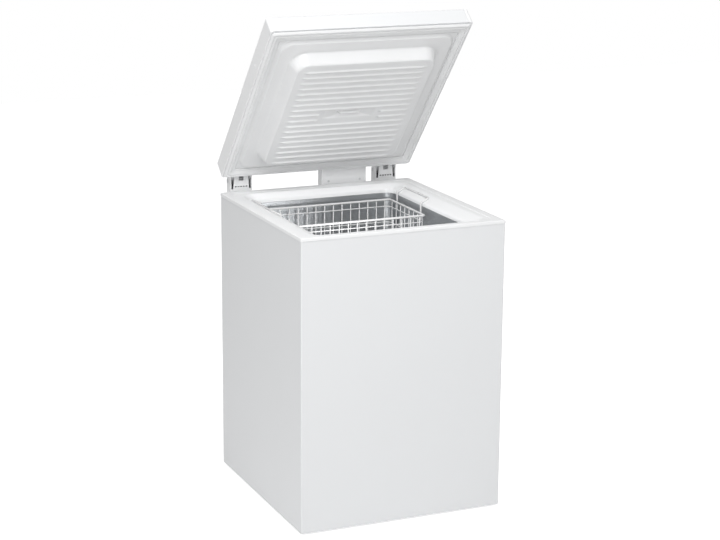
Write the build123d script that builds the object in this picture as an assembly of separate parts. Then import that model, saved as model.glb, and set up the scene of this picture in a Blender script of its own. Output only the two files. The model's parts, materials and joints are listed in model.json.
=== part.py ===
from build123d import *
import math
import os

# A chest freezer with its lid held open. Millimetres: +X is to the right seen from the front,
# +Y is to the back and +Z is up. The origin is on the floor, under the middle of the overall
# footprint, hinge housings included.

# Overall sizes
CABINET_WIDTH = 595.0
CABINET_DEPTH = 622.0
RIM_HEIGHT = 816.6
FIT_GAP = 0.3
RUNNING_GAP = 0.5
SCREW_CLEARANCE = 0.4

# Lid and hinge line
LID_WIDTH = 591.0
LID_DEPTH = 613.5
LID_THICKNESS = 49.0
LID_SETBACK = 6.7
SEAL_GAP = 7.5
HINGE_SETBACK = 34.0
HINGE_RISE = 25.5
HINGE_REAR = 9.5
HINGE_MARGIN = 69.5
LID_REST_ANGLE = 49.2
LID_TRAVEL = 80.0

# Cabinet sheet metal
SHELL_SHEET = 0.8
SHELL_CORNER = 4.0
SHELL_RETURN = 16.0
PANEL_SHEET = 0.8
PANEL_INSET = 6.0
PAN_SHEET = 1.2
FOOT_HEIGHT = 6.0
FOOT_DIAMETER = 44.0
FOOT_STEM = 12.0
FOOT_INSET = 48.0

# Collar round the opening
COLLAR_SKIN = 3.0
COLLAR_SKIRT = 9.0
SKIRT_SKIN = 1.0
COLLAR_CORNER = 5.0
COLLAR_EDGE = 1.5
BAND_FRONT = 23.0
BAND_SIDE = 42.0
BAND_BACK = 40.0
SEAL_BAND = 25.5
LEDGE_STEP = 1.2
LEDGE_CORNER = 30.0
SHOULDER_FRONT = 16.0
SHOULDER_SIDE = 37.5
SHOULDER_BACK = 12.0
SHOULDER_DROP = 18.0
LIP_DROP = 10.0
WELL_CORNER_TOP = 40.0
WELL_CORNER_LIP = 30.0

# Inner liner
LINER_SHEET = 1.0
LINER_RELIEF = 2.0
LINER_CORNER = 32.0
LINER_FLANGE = 12.0
FLOOR_FOAM = 60.0

# Machine bay behind and below the liner's step
BAY_DEPTH = 215.0
BAY_HEIGHT = 240.0
STEP_FOAM = 48.0
PARTITION_SHEET = 0.8
LOUVRE_LENGTH = 150.0
LOUVRE_HEIGHT = 8.0
LOUVRE_PITCH = 18.0
LOUVRE_ROWS = 9
LOUVRE_OFFSET = 120.0
LOUVRE_LOW = 50.0
GLAND_DIAMETER = 16.0
GLAND_FLANGE = 24.0
GLAND_LENGTH = 12.0
GLAND_BORE = 8.0
GLAND_X = -235.0
GLAND_HEIGHT = 60.0

# Cold circuit
TUBE_DIAMETER = 8.0
TUBE_TAIL = 12.0
CAPILLARY_DIAMETER = 3.0
EVAPORATOR_TURNS = 5
EVAPORATOR_PITCH = 75.0
EVAPORATOR_RISE = 40.0
EVAPORATOR_IN_X = -60.0
EVAPORATOR_OUT_X = 40.0
EVAPORATOR_BACKSET = 17.0
CONDENSER_RUNS = 5
CONDENSER_PITCH = 100.0
CONDENSER_RISE = 60.0
CONDENSER_BEND = 40.0
CONDENSER_BACKSET = 90.0
CONDENSER_TAIL_SHIFT = 40.0
CONDENSER_OUT_INSET = 60.0
CONDENSER_OUT_RISE = 60.0
TAIL_BEND = 22.0
SHORT_LEG_BEND = 0.45
EVAPORATOR_LAST_TURN = 0.125
DRIER_DIAMETER = 20.0
DRIER_LENGTH = 80.0
DRIER_NECK = 10.0
CAPILLARY_SAG = 25.0

# Compressor
COMPRESSOR_WIDTH = 150.0
COMPRESSOR_DEPTH = 118.0
COMPRESSOR_HEIGHT = 150.0
COMPRESSOR_WALL = 3.0
COMPRESSOR_SEAM = 60.0
COMPRESSOR_FLANGE = 4.0
COMPRESSOR_CORNER = 45.0
COMPRESSOR_DOME = 28.0
COMPRESSOR_X = 120.0
COMPRESSOR_BACKSET = 108.0
MOTOR_DIAMETER = 90.0
MOTOR_HEIGHT = 80.0
MOTOR_PEDESTAL = 50.0
MOTOR_LIFT = 12.0
GROMMET_DIAMETER = 24.0
GROMMET_HEIGHT = 12.0
GROMMET_NECK = 11.4
RAIL_LENGTH = 200.0
RAIL_WIDTH = 24.0
RAIL_THICKNESS = 4.0
RAIL_SPREAD = 68.0
RAIL_HOLE_SPREAD = 172.0
BOLT_DIAMETER = 6.0
BOLT_HEAD = 15.0
BOLT_HEAD_HEIGHT = 4.0
RELAY_WIDTH = 30.0
RELAY_DEPTH = 40.0
RELAY_HEIGHT = 50.0
PORT_HEIGHT = 100.0

# Drain through the liner's step
DRAIN_X = -150.0
DRAIN_RISE = 20.0
DRAIN_DIAMETER = 20.0
DRAIN_WALL = 2.5
DRAIN_FLANGE = 28.0
DRAIN_FLANGE_HEIGHT = 2.0
DRAIN_TAIL = 15.0
PLUG_LENGTH = 18.0
PLUG_HEAD = 4.0
PLUG_GRIP = 10.0
PLUG_GRIP_WIDTH = 5.0

# Control box between the hinges
BOX_CENTRE = 89.0
BOX_WIDTH = 141.5
BOX_DEPTH = 31.5
BOX_RISE = 41.0
BOX_DROP = 55.0
BOX_WALL = 2.0
BOX_CORNER = 3.0
BOX_EAR = 14.0
BOX_EAR_LOW = 50.0
BOX_EAR_HIGH = 20.0
BOX_SCREW_SPREAD = 99.3
BOX_SCREW_RISE = 8.3
BOX_BOSS = 9.0
BOX_BOSS_LENGTH = 10.0
PANEL_PLATE = 2.5
KNOB_X = -38.0
KNOB_DIAMETER = 20.0
KNOB_HEIGHT = 9.5
KNOB_FLUTES = 16
KNOB_FLUTE_DIAMETER = 2.0
KNOB_ROOF = 2.0
KNOB_FORWARD = 17.0
SPINDLE_DIAMETER = 6.0
SPINDLE_REACH = 18.0
SPINDLE_CLEARANCE = 0.05
THERMOSTAT_WIDTH = 36.0
THERMOSTAT_DEPTH = 22.0
THERMOSTAT_HEIGHT = 28.0
LAMP_DIAMETER = 5.0
LAMP_PROUD = 1.0
LAMP_PITCH = 15.0
LAMP_FIRST_X = 20.0
LAMP_COUNT = 3

# Hinge housings
HINGE_WIDTH = 66.0
CHEEK_SHEET = 3.0
HINGE_PLATE = 2.0
HINGE_PLATE_SETBACK = 12.0
HINGE_TOP = 42.0
HINGE_DROP = 150.0
HINGE_PLATE_DROP = 60.0
HINGE_REAR_TOP = 26.0
HINGE_SHOULDER = 30.0
HOOD_EDGE = 2.6
HOOD_INSET = 1.5
EAR_SHEET = 4.0
EAR_INSET = 3.0
EAR_LOW = 12.0
EAR_HIGH = 46.0
EYE_DIAMETER = 14.0
PIN_DIAMETER = 8.0
PIN_CLEARANCE = 0.05
PIN_HEAD = 12.0
PIN_HEAD_HEIGHT = 1.5
SLOT_LOW = 4.0
SLOT_LOW_MARGIN = 0.8
SLOT_TOP_MARGIN = 4.0
NOTCH_WIDTH = 15.0
NOTCH_LOW = 28.0
VENT_COUNT = 5
VENT_PITCH = 8.2
VENT_WIDTH = 5.2
VENT_HEIGHT = 3.5
VENT_RISE = 9.0
WING_WIDTH = 14.0
WING_SHEET = 2.5
WING_LOW = 140.0
WING_HIGH = 25.0
WING_SCREW_LOW = 120.0
WING_SCREW_HIGH = 50.0
BRACKET_SHEET = 2.0
BRACKET_LOW = 11.0
BRACKET_HIGH = 50.0
BRACKET_SCREW_SPREAD = 22.0
BRACKET_SCREW_LOW = 18.0
BRACKET_SCREW_HIGH = 42.0
CAM_WIDTH = 16.0
CAM_NOTCH = 20.0
CAM_NOTCH_LOW = 6.0
CAM_BASE = 6.0
CAM_FLOOR = 9.0
CAM_POINTS = 7
SLIDER_HEIGHT = 44.0
SPRING_RADIUS = 9.0
SPRING_WIRE = 2.6
SPRING_TURNS = 9

# Lid pieces
LID_SHEET = 0.7
LID_LIP = 8.0
LID_EDGE = 3.0
TRIM_WRAP = 13.0
TRIM_WALL = 3.0
TRIM_PROUD = 0.7
TRIM_CORNER = 8.0
TRIM_EDGE = 2.0
LID_LINER = 2.0
STEP_MARGIN_SIDE = 37.0
STEP_MARGIN_REAR = 42.0
STEP_MARGIN_FRONT = 42.0
STEP_DEPTH = 8.0
STEP_DRAFT = 6.0
STEP_CORNER = 40.0
PLATEAU_MARGIN_SIDE = 78.5
PLATEAU_MARGIN_REAR = 80.0
PLATEAU_MARGIN_FRONT = 83.5
PLATEAU_DEPTH = 42.0
PLATEAU_DRAFT_SIDE = 16.0
PLATEAU_DRAFT_END = 14.0
PLATEAU_CORNER = 46.0
RIB_COUNT = 18
RIB_PITCH = 22.5
RIB_LENGTH = 352.0
RIB_WIDTH = 12.0
RIB_HEIGHT = 3.0
RIB_CENTRE = 295.3
RECESS_CENTRE = 303.0
RECESS_WIDTH = 184.0
RECESS_LENGTH = 39.0
RECESS_DEPTH = 4.5
RECESS_REACH = 76.0
RECESS_BAR = 62.0
RECESS_BAR_WIDTH = 11.0
RECESS_BAR_BACK = 306.0
GASKET_INSET = 2.0
GASKET_MARGIN_SIDE = 31.5
GASKET_MARGIN_END = 36.5
GASKET_BASE = 2.4
GASKET_BULB = 19.0
GASKET_CORNER = 12.0
GASKET_ROUND = 2.2
SIDE_PLUG_DIAMETER = 9.0
SIDE_PLUG_STEM = 6.0
SIDE_PLUG_PROUD = 0.8
SIDE_PLUG_BACK = 453.0
SIDE_PLUG_RISE = 22.0

# Hanging basket
BASKET_DEPTH = 240.0
BASKET_HEIGHT = 190.0
BASKET_SIDE_ROOM = 9.0
BASKET_BACK_ROOM = 12.0
BASKET_DROP = 46.0
BASKET_WIRE = 3.0
BASKET_RIM_WIRE = 6.0
BASKET_RIM_CORNER = 6.0
BASKET_MESH = 28.0
BASKET_RAILS = 4
HANGER_WIRE = 5.0
HANGER_SPREAD = 160.0
HANGER_REACH = 20.0
HANGER_BEND = 6.0
HANGER_FOOT = 25.0

# Screws
SCREW_HEAD = 8.0
SCREW_HEAD_HEIGHT = 2.0
SCREW_SHANK = 4.0
SCREW_LENGTH = 8.0
SMALL_SCREW_HEAD = 6.5
SMALL_SCREW_HEIGHT = 1.6
SMALL_SCREW_SHANK = 3.2
FLUSH_SCREW_HEAD = 7.0
FLUSH_SCREW_HEIGHT = 1.2
FLUSH_SCREW_SHANK = 3.5
FLUSH_SCREW_LENGTH = 12.0
PANEL_SCREW_ROWS = 4
GRILLE_SCREW_ROWS = 3
EDGE_SCREW_INSET = 12.0
EDGE_SCREW_MARGIN = 40.0

# Places worked out from the sizes above
HALF_WIDTH = CABINET_WIDTH / 2
OVERALL_DEPTH = CABINET_DEPTH + HINGE_SETBACK + HINGE_REAR
FRONT = -OVERALL_DEPTH / 2
BACK = FRONT + CABINET_DEPTH
AXIS_Y = BACK + HINGE_SETBACK
AXIS_Z = RIM_HEIGHT + HINGE_RISE
HINGE_BACK = AXIS_Y + HINGE_REAR
FAR = 2 * (CABINET_WIDTH + CABINET_DEPTH)

SHELL_HALF = HALF_WIDTH - SKIRT_SKIN - FIT_GAP
SHELL_FRONT = FRONT + SKIRT_SKIN + FIT_GAP
SHELL_BACK = BACK - SKIRT_SKIN - FIT_GAP
SHELL_TOP = RIM_HEIGHT - COLLAR_SKIN - FIT_GAP
RETURN_BACK = SHELL_BACK - PANEL_SHEET
PAN_TOP = FOOT_HEIGHT + PAN_SHEET
INSIDE_HALF = SHELL_HALF - SHELL_SHEET - FIT_GAP
INSIDE_FRONT = SHELL_FRONT + SHELL_SHEET + FIT_GAP
INSIDE_BACK = RETURN_BACK - SHELL_SHEET - FIT_GAP
INSIDE_CORNER = SHELL_CORNER - SHELL_SHEET - FIT_GAP

LIP_HALF = HALF_WIDTH - BAND_SIDE - SHOULDER_SIDE
LIP_FRONT = FRONT + BAND_FRONT + SHOULDER_FRONT
LIP_BACK = BACK - BAND_BACK - SHOULDER_BACK
LIP_TOP = RIM_HEIGHT - SHOULDER_DROP
LINER_TOP = LIP_TOP - LIP_DROP
LINER_HALF = LIP_HALF + LINER_RELIEF
LINER_FRONT = LIP_FRONT - LINER_RELIEF
LINER_BACK = LIP_BACK + LINER_RELIEF
LINER_FLOOR = PAN_TOP + FLOOR_FOAM
BAY_FRONT = SHELL_BACK - BAY_DEPTH
BAY_TOP = FOOT_HEIGHT + BAY_HEIGHT
STEP_FRONT = BAY_FRONT - STEP_FOAM
STEP_TOP = BAY_TOP + STEP_FOAM

LID_HALF = LID_WIDTH / 2
LID_REAR = BACK - LID_SETBACK
LID_FRONT = LID_REAR - LID_DEPTH
LID_BOTTOM = RIM_HEIGHT + SEAL_GAP
LID_TOP = LID_BOTTOM + LID_THICKNESS
LID_INSIDE_HALF = LID_HALF - TRIM_WRAP - FIT_GAP
REST_TURN = math.radians(LID_REST_ANGLE)
CAM_REACH = CAM_FLOOR + CAM_BASE * math.radians(LID_TRAVEL)

HINGE_HALF = HINGE_WIDTH / 2
HINGE_XS = {"left": HINGE_MARGIN - HALF_WIDTH, "right": HALF_WIDTH - HINGE_MARGIN}
HINGE_PLATE_FRONT = BACK + HINGE_PLATE_SETBACK
HINGE_PLATE_BACK = HINGE_PLATE_FRONT + HINGE_PLATE
EAR_INNER = HINGE_HALF - CHEEK_SHEET - EAR_INSET - EAR_SHEET / 2
EAR_OUTER = EAR_INNER + EAR_SHEET
SLIDER_TOP = AXIS_Z - CAM_REACH - FIT_GAP + CAM_BASE * REST_TURN
SLIDER_FRONT = HINGE_PLATE_BACK + RUNNING_GAP
SLIDER_BACK = HINGE_BACK - HINGE_PLATE - RUNNING_GAP

BOX_FRONT = BACK + FIT_GAP
BOX_BACK = BOX_FRONT + BOX_DEPTH
BOX_TOP = RIM_HEIGHT + BOX_RISE
PANEL_TOP = BOX_TOP + PANEL_PLATE
KNOB_Y = AXIS_Y - KNOB_FORWARD

TUBE_RADIUS = TUBE_DIAMETER / 2
TAIL_Z = BAY_TOP - TUBE_TAIL
LINER_TUBE = LINER_SHEET + FIT_GAP + TUBE_RADIUS
SHELL_TUBE = SHELL_SHEET + FIT_GAP + TUBE_RADIUS
EVAPORATOR_BACK = LINER_BACK + LINER_TUBE
EVAPORATOR_TOP = STEP_TOP + EVAPORATOR_RISE + (EVAPORATOR_TURNS + EVAPORATOR_LAST_TURN) * EVAPORATOR_PITCH
CONDENSER_HALF = SHELL_HALF - SHELL_TUBE
CONDENSER_TOP = BAY_TOP + CONDENSER_RISE + (CONDENSER_RUNS - 1) * CONDENSER_PITCH
CONDENSER_TAIL_Y = SHELL_BACK - CONDENSER_BACKSET + CONDENSER_TAIL_SHIFT
DRIER_X = CONDENSER_HALF - CONDENSER_OUT_INSET
DRIER_BOTTOM = TAIL_Z - DRIER_LENGTH - 2 * DRIER_NECK
COMPRESSOR_Y = SHELL_BACK - COMPRESSOR_BACKSET
RAIL_BOTTOM = PAN_TOP + GROMMET_HEIGHT
CAN_BOTTOM = RAIL_BOTTOM + RAIL_THICKNESS
SEAM_Z = CAN_BOTTOM + COMPRESSOR_SEAM
PORT_Z = CAN_BOTTOM + PORT_HEIGHT
DRAIN_Z = LINER_FLOOR + DRAIN_RISE
DRAIN_BORE = DRAIN_DIAMETER - 2 * DRAIN_WALL

BASKET_HALF = LIP_HALF - BASKET_SIDE_ROOM
BASKET_BACK = LIP_BACK - BASKET_BACK_ROOM
BASKET_FRONT = BASKET_BACK - BASKET_DEPTH
BASKET_RIM_Z = RIM_HEIGHT - BASKET_DROP
BASKET_NET_TOP = BASKET_RIM_Z - BASKET_RIM_WIRE / 2 - FIT_GAP
BASKET_FLOOR = BASKET_NET_TOP - BASKET_HEIGHT


# Small shape makers

def block(x0, x1, y0, y1, z0, z1):
    return Pos((x0 + x1) / 2, (y0 + y1) / 2, (z0 + z1) / 2) * Box(x1 - x0, y1 - y0, z1 - z0)


def rounded_face(x0, x1, y0, y1, z, radius):
    return Pos((x0 + x1) / 2, (y0 + y1) / 2, z) * RectangleRounded(x1 - x0, y1 - y0, radius)


def rounded_block(x0, x1, y0, y1, z0, z1, radius):
    return extrude(rounded_face(x0, x1, y0, y1, z0, radius), amount=z1 - z0)


def rod(start, direction, diameter, length):
    foot = (Align.CENTER, Align.CENTER, Align.MIN)
    return Plane(origin=start, z_dir=direction) * Cylinder(diameter / 2, length, align=foot)


def side_profile(points, x0, x1):
    """A solid whose outline is given as (y, z) points, from x0 to x1."""
    outline = make_face(Polyline(*points, close=True))
    return extrude(Plane.YZ.offset(x0) * outline, amount=x1 - x0)


def tube(points, diameter, bends):
    path = FilletPolyline(*points, radius=bends)
    section = Plane(origin=path @ 0, z_dir=path % 0) * Circle(diameter / 2)
    return sweep(section, path=path)


def screw(point, outward, head, height, shank, length):
    inward = tuple(-part for part in outward)
    return rod(point, outward, head, height) + rod(point, inward, shank, length)


def spread(low, high, count):
    return [low + (high - low) * step / (count - 1) for step in range(count)]


def opened(shape):
    """Turns a lid piece from closed to the stored angle about the hinge line."""
    turn = Pos(0, AXIS_Y, AXIS_Z) * Rot(-LID_REST_ANGLE, 0, 0) * Pos(0, -AXIS_Y, -AXIS_Z)
    return turn * shape


def save(name, *solids):
    shape = solids[0] if len(solids) == 1 else Compound(children=list(solids))
    export_step(shape, f"parts/{name}.step")


# Screw places on the cabinet's back, as (x, z)

EDGE_SCREW_X = SHELL_HALF - EDGE_SCREW_INSET
PANEL_SCREWS = [
    (side * EDGE_SCREW_X, z)
    for side in (-1, 1)
    for z in spread(BAY_TOP + EDGE_SCREW_MARGIN, SHELL_TOP - EDGE_SCREW_MARGIN, PANEL_SCREW_ROWS)
]
GRILLE_SCREWS = [
    (side * EDGE_SCREW_X, z)
    for side in (-1, 1)
    for z in spread(FOOT_HEIGHT + EDGE_SCREW_MARGIN, BAY_TOP - EDGE_SCREW_MARGIN, GRILLE_SCREW_ROWS)
]
WING_SCREWS = [
    (x + side * (HINGE_HALF + WING_WIDTH / 2), RIM_HEIGHT - drop)
    for x in HINGE_XS.values()
    for side in (-1, 1)
    for drop in (WING_SCREW_LOW, WING_SCREW_HIGH)
]
EAR_SCREWS = [
    (BOX_CENTRE + side * (BOX_WIDTH + BOX_EAR) / 2, RIM_HEIGHT - (BOX_EAR_LOW + BOX_EAR_HIGH) / 2)
    for side in (-1, 1)
]


def back_holes(places, extra):
    """Straight holes through everything at the cabinet's back, for screws at the given places."""
    reach = SCREW_LENGTH + FIT_GAP
    start = SHELL_BACK + HINGE_REAR
    hole = SCREW_SHANK + extra
    return [rod((x, start, z), (0, -1, 0), hole, HINGE_REAR + reach) for x, z in places]


def back_screws(places, face_y):
    sizes = (SCREW_HEAD, SCREW_HEAD_HEIGHT, SCREW_SHANK, face_y - SHELL_BACK + SCREW_LENGTH)
    return [screw((x, face_y, z), (0, 1, 0), *sizes) for x, z in places]


# Cabinet casing

def outer_shell():
    a, front, back = SHELL_HALF, SHELL_FRONT, RETURN_BACK
    t, lip = SHELL_SHEET, SHELL_HALF - SHELL_RETURN
    outside = [(-lip, back), (-a, back), (-a, front), (a, front), (a, back), (lip, back)]
    inside = [(lip, back - t), (a - t, back - t), (a - t, front + t)]
    inside += [(t - a, front + t), (t - a, back - t), (-lip, back - t)]
    sheet = make_face(Polyline(*outside, *inside, close=True))
    bends = sheet.vertices().filter_by(lambda corner: abs(corner.X) > lip + FIT_GAP)
    inner = bends.filter_by(lambda corner: abs(corner.X) < a - t / 2)
    sheet = fillet(inner, SHELL_CORNER - t)
    outer = sheet.vertices().filter_by(lambda corner: abs(corner.X) > a - t / 2)
    sheet = fillet(outer, SHELL_CORNER)
    shell = extrude(Pos(0, 0, FOOT_HEIGHT) * sheet, amount=SHELL_TOP - FOOT_HEIGHT)
    return shell - back_holes(PANEL_SCREWS + GRILLE_SCREWS, SCREW_CLEARANCE)


def back_panel():
    half = SHELL_HALF - PANEL_INSET
    panel = block(-half, half, RETURN_BACK, SHELL_BACK, BAY_TOP, SHELL_TOP)
    return panel - back_holes(PANEL_SCREWS + WING_SCREWS + EAR_SCREWS, SCREW_CLEARANCE)


def foot_places():
    xs = (FOOT_INSET - SHELL_HALF, SHELL_HALF - FOOT_INSET)
    ys = (SHELL_FRONT + FOOT_INSET, SHELL_BACK - FOOT_INSET)
    return [(x, y) for x in xs for y in ys]


def base_pan():
    pan = rounded_block(
        -INSIDE_HALF, INSIDE_HALF, INSIDE_FRONT, INSIDE_BACK, FOOT_HEIGHT, PAN_TOP, INSIDE_CORNER
    )
    stems = [rod((x, y, 0), (0, 0, 1), FOOT_STEM + SCREW_CLEARANCE, FAR) for x, y in foot_places()]
    bolts = [rod((x, y, 0), (0, 0, 1), BOLT_DIAMETER + SCREW_CLEARANCE, FAR) for x, y in rail_holes()]
    return pan - stems - bolts


def foot(x, y):
    pad = rod((x, y, 0), (0, 0, 1), FOOT_DIAMETER, FOOT_HEIGHT)
    return pad + rod((x, y, 0), (0, 0, 1), FOOT_STEM, PAN_TOP)


# Collar: a flat band, a sloping shoulder and a lower lip round the well

def well(grow, drop, bottom):
    """The open well inside the collar, grown sideways and lowered for an outer face."""
    top_rect = (
        BAND_SIDE - HALF_WIDTH - grow, HALF_WIDTH - BAND_SIDE + grow,
        FRONT + BAND_FRONT - grow, BACK - BAND_BACK + grow,
    )
    lip_rect = (-LIP_HALF - grow, LIP_HALF + grow, LIP_FRONT - grow, LIP_BACK + grow)
    shoulder_top = RIM_HEIGHT - drop
    shoulder_low = LIP_TOP - drop
    mouth = rounded_face(*top_rect, shoulder_top, WELL_CORNER_TOP + grow)
    throat = rounded_face(*lip_rect, shoulder_low, WELL_CORNER_LIP + grow)
    above = rounded_block(*top_rect, shoulder_top, RIM_HEIGHT + COLLAR_SKIN, WELL_CORNER_TOP + grow)
    below = rounded_block(*lip_rect, bottom, shoulder_low, WELL_CORNER_LIP + grow)
    return loft([throat, mouth]) + above + below


def top_collar():
    low, high = RIM_HEIGHT - COLLAR_SKIRT, RIM_HEIGHT
    cap = rounded_block(-HALF_WIDTH, HALF_WIDTH, FRONT, BACK, low, high, COLLAR_CORNER)
    cap = fillet(cap.edges().group_by(Axis.Z)[-1], COLLAR_EDGE)
    s, thin = COLLAR_SKIN, SKIRT_SKIN
    cap -= rounded_block(
        thin - HALF_WIDTH, HALF_WIDTH - thin, FRONT + thin, BACK - thin, low, high - s, COLLAR_CORNER - thin
    )
    funnel = well(s, s, LINER_TOP) - block(-FAR, FAR, -FAR, FAR, high - s / 2, high + FAR)
    ledge = rounded_block(
        SEAL_BAND - HALF_WIDTH, HALF_WIDTH - SEAL_BAND, FRONT + BAND_FRONT + FIT_GAP, BACK - SEAL_BAND,
        high - LEDGE_STEP, high + s, LEDGE_CORNER,
    )
    return cap + funnel - well(0, 0, LINER_TOP) - ledge


# Inner liner and insulation

def liner_space(grow):
    tub = rounded_block(
        -LINER_HALF - grow, LINER_HALF + grow, LINER_FRONT - grow, LINER_BACK + grow,
        LINER_FLOOR - grow, LINER_TOP, LINER_CORNER + grow,
    )
    return tub - block(-FAR, FAR, STEP_FRONT + grow, FAR, 0, STEP_TOP - grow)


def liner_rim(grow, z0, z1):
    g = LINER_FLANGE + grow
    return rounded_block(
        -LINER_HALF - g, LINER_HALF + g, LINER_FRONT - g, LINER_BACK + g, z0, z1, LINER_CORNER + g
    )


def inner_liner():
    flange = liner_rim(0, LINER_TOP - LINER_SHEET, LINER_TOP)
    return liner_space(LINER_SHEET) + flange - liner_space(0) - drain_hole()


def drain_hole():
    start = (DRAIN_X, STEP_FRONT - DRAIN_TAIL, DRAIN_Z)
    return rod(start, (0, 1, 0), DRAIN_DIAMETER + FIT_GAP, 2 * BAY_DEPTH)


def insulation():
    foam = rounded_block(
        -INSIDE_HALF, INSIDE_HALF, INSIDE_FRONT, INSIDE_BACK,
        PAN_TOP, RIM_HEIGHT - COLLAR_SKIRT, INSIDE_CORNER,
    )
    foam -= well(COLLAR_SKIN + FIT_GAP, COLLAR_SKIN + FIT_GAP, LINER_TOP - LINER_SHEET)
    foam -= liner_rim(FIT_GAP, LINER_TOP - LINER_SHEET - FIT_GAP, LINER_TOP)
    foam -= liner_space(LINER_SHEET + FIT_GAP)
    foam -= block(-FAR, FAR, BAY_FRONT - FIT_GAP, FAR, 0, BAY_TOP + FIT_GAP)
    foam -= drain_hole()
    foam -= tube_pockets()
    return foam - back_holes(PANEL_SCREWS + WING_SCREWS + EAR_SCREWS, 2 * SCREW_CLEARANCE)


# Cold circuit

def tube_pockets():
    """Room in the foam for the tubes taped to the liner and to the shell, and for their tails."""
    room = TUBE_RADIUS + FIT_GAP
    depth = LINER_SHEET + 2 * FIT_GAP + TUBE_DIAMETER
    low, high = STEP_TOP + EVAPORATOR_RISE - room, EVAPORATOR_TOP + room
    round_liner = rounded_block(
        -LINER_HALF - depth, LINER_HALF + depth, LINER_FRONT - depth, LINER_BACK + depth,
        low, high, LINER_CORNER + depth,
    )
    out_y = EVAPORATOR_BACK + EVAPORATOR_BACKSET + room
    inlet = block(
        EVAPORATOR_IN_X - TAIL_BEND - room, EVAPORATOR_IN_X + room,
        EVAPORATOR_BACK - room, EVAPORATOR_BACK + room, BAY_TOP, low + FIT_GAP,
    )
    outlet = block(
        EVAPORATOR_OUT_X - room, EVAPORATOR_OUT_X + TAIL_BEND + room,
        EVAPORATOR_BACK - room, out_y, BAY_TOP, high,
    )
    top = CONDENSER_TOP + room
    end = CONDENSER_TAIL_Y + room
    inset = TUBE_DIAMETER + FIT_GAP
    round_shell = block(-FAR, FAR, -FAR, end, BAY_TOP, top) - rounded_block(
        inset - INSIDE_HALF, INSIDE_HALF - inset, INSIDE_FRONT + inset, FAR,
        BAY_TOP, top, CONDENSER_BEND - room,
    )
    drop = block(
        DRIER_X - room, INSIDE_HALF, CONDENSER_TAIL_Y - room, end,
        BAY_TOP, BAY_TOP + CONDENSER_OUT_RISE + TAIL_BEND + room,
    )
    return [round_liner, round_shell, drop, inlet, outlet]


def evaporator_tube():
    """One tube wound round the liner, with both tails brought down into the machine bay."""
    half, front, back = LINER_HALF + LINER_TUBE, LINER_FRONT - LINER_TUBE, EVAPORATOR_BACK
    start = STEP_TOP + EVAPORATOR_RISE
    corners = [(-half, back), (-half, front), (half, front), (half, back)]
    points = [(EVAPORATOR_IN_X, back, TAIL_Z), (EVAPORATOR_IN_X, back, start)]
    for turn in range(4 * EVAPORATOR_TURNS):
        x, y = corners[turn % 4]
        points.append((x, y, start + (turn + 1) * EVAPORATOR_PITCH / 4))
    top = EVAPORATOR_TOP
    out_y = back + EVAPORATOR_BACKSET
    points += [(EVAPORATOR_OUT_X, y, z) for y, z in ((back, top), (out_y, top), (out_y, TAIL_Z))]
    corner = LINER_CORNER + LINER_TUBE
    turnback = SHORT_LEG_BEND * EVAPORATOR_BACKSET
    bends = [TAIL_BEND] + [corner] * (4 * EVAPORATOR_TURNS) + [turnback, turnback]
    return tube(points, TUBE_DIAMETER, bends)


def condenser_tube():
    """One tube run to and fro over the shell's sides and front, with its tails in the bay."""
    half, front, back = CONDENSER_HALF, SHELL_FRONT + SHELL_TUBE, SHELL_BACK - CONDENSER_BACKSET
    tail_y = CONDENSER_TAIL_Y
    start = BAY_TOP + CONDENSER_RISE
    points = [(-half, tail_y, TAIL_Z), (-half, tail_y, start)]
    for run in range(CONDENSER_RUNS):
        side = -half if run % 2 == 0 else half
        z = start + run * CONDENSER_PITCH
        if run > 0:
            points.append((side, back, z))
        points += [(side, front, z), (-side, front, z)]
        if run < CONDENSER_RUNS - 1:
            points.append((-side, back, z))
    turn_z = BAY_TOP + CONDENSER_OUT_RISE
    points += [(half, tail_y, z), (half, tail_y, turn_z)]
    points += [(DRIER_X, tail_y, turn_z), (DRIER_X, tail_y, TAIL_Z)]
    bends = [CONDENSER_BEND] * (len(points) - 5) + [TAIL_BEND] * 3
    return tube(points, TUBE_DIAMETER, bends)


def discharge_pipe():
    x, y = -CONDENSER_HALF, CONDENSER_TAIL_Y
    start = (COMPRESSOR_X - COMPRESSOR_WIDTH / 2, COMPRESSOR_Y, PORT_Z)
    points = [start, (x, COMPRESSOR_Y, PORT_Z), (x, y, PORT_Z), (x, y, TAIL_Z)]
    return tube(points, TUBE_DIAMETER, TAIL_BEND)


def suction_pipe():
    y = EVAPORATOR_BACK + EVAPORATOR_BACKSET
    can_back = COMPRESSOR_Y + COMPRESSOR_DEPTH / 2
    points = [
        (EVAPORATOR_OUT_X, y, TAIL_Z), (EVAPORATOR_OUT_X, y, PORT_Z),
        (COMPRESSOR_X, y, PORT_Z), (COMPRESSOR_X, can_back, PORT_Z),
    ]
    return tube(points, TUBE_DIAMETER, SHORT_LEG_BEND * (y - can_back))


def drier():
    y = CONDENSER_TAIL_Y
    body = rod((DRIER_X, y, DRIER_BOTTOM + DRIER_NECK), (0, 0, 1), DRIER_DIAMETER, DRIER_LENGTH)
    body = chamfer(body.edges().filter_by(GeomType.CIRCLE), DRIER_DIAMETER / 4)
    return body + rod((DRIER_X, y, DRIER_BOTTOM), (0, 0, 1), TUBE_DIAMETER, DRIER_LENGTH + 2 * DRIER_NECK)


def capillary_tube():
    z = DRIER_BOTTOM - CAPILLARY_SAG
    y = CONDENSER_TAIL_Y
    points = [
        (DRIER_X, y, DRIER_BOTTOM), (DRIER_X, y, z), (DRIER_X, EVAPORATOR_BACK, z),
        (EVAPORATOR_IN_X, EVAPORATOR_BACK, z), (EVAPORATOR_IN_X, EVAPORATOR_BACK, TAIL_Z),
    ]
    jog = SHORT_LEG_BEND * abs(EVAPORATOR_BACK - y)
    return tube(points, CAPILLARY_DIAMETER, [jog, jog, TAIL_BEND])


# Compressor on its rubber feet

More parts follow.
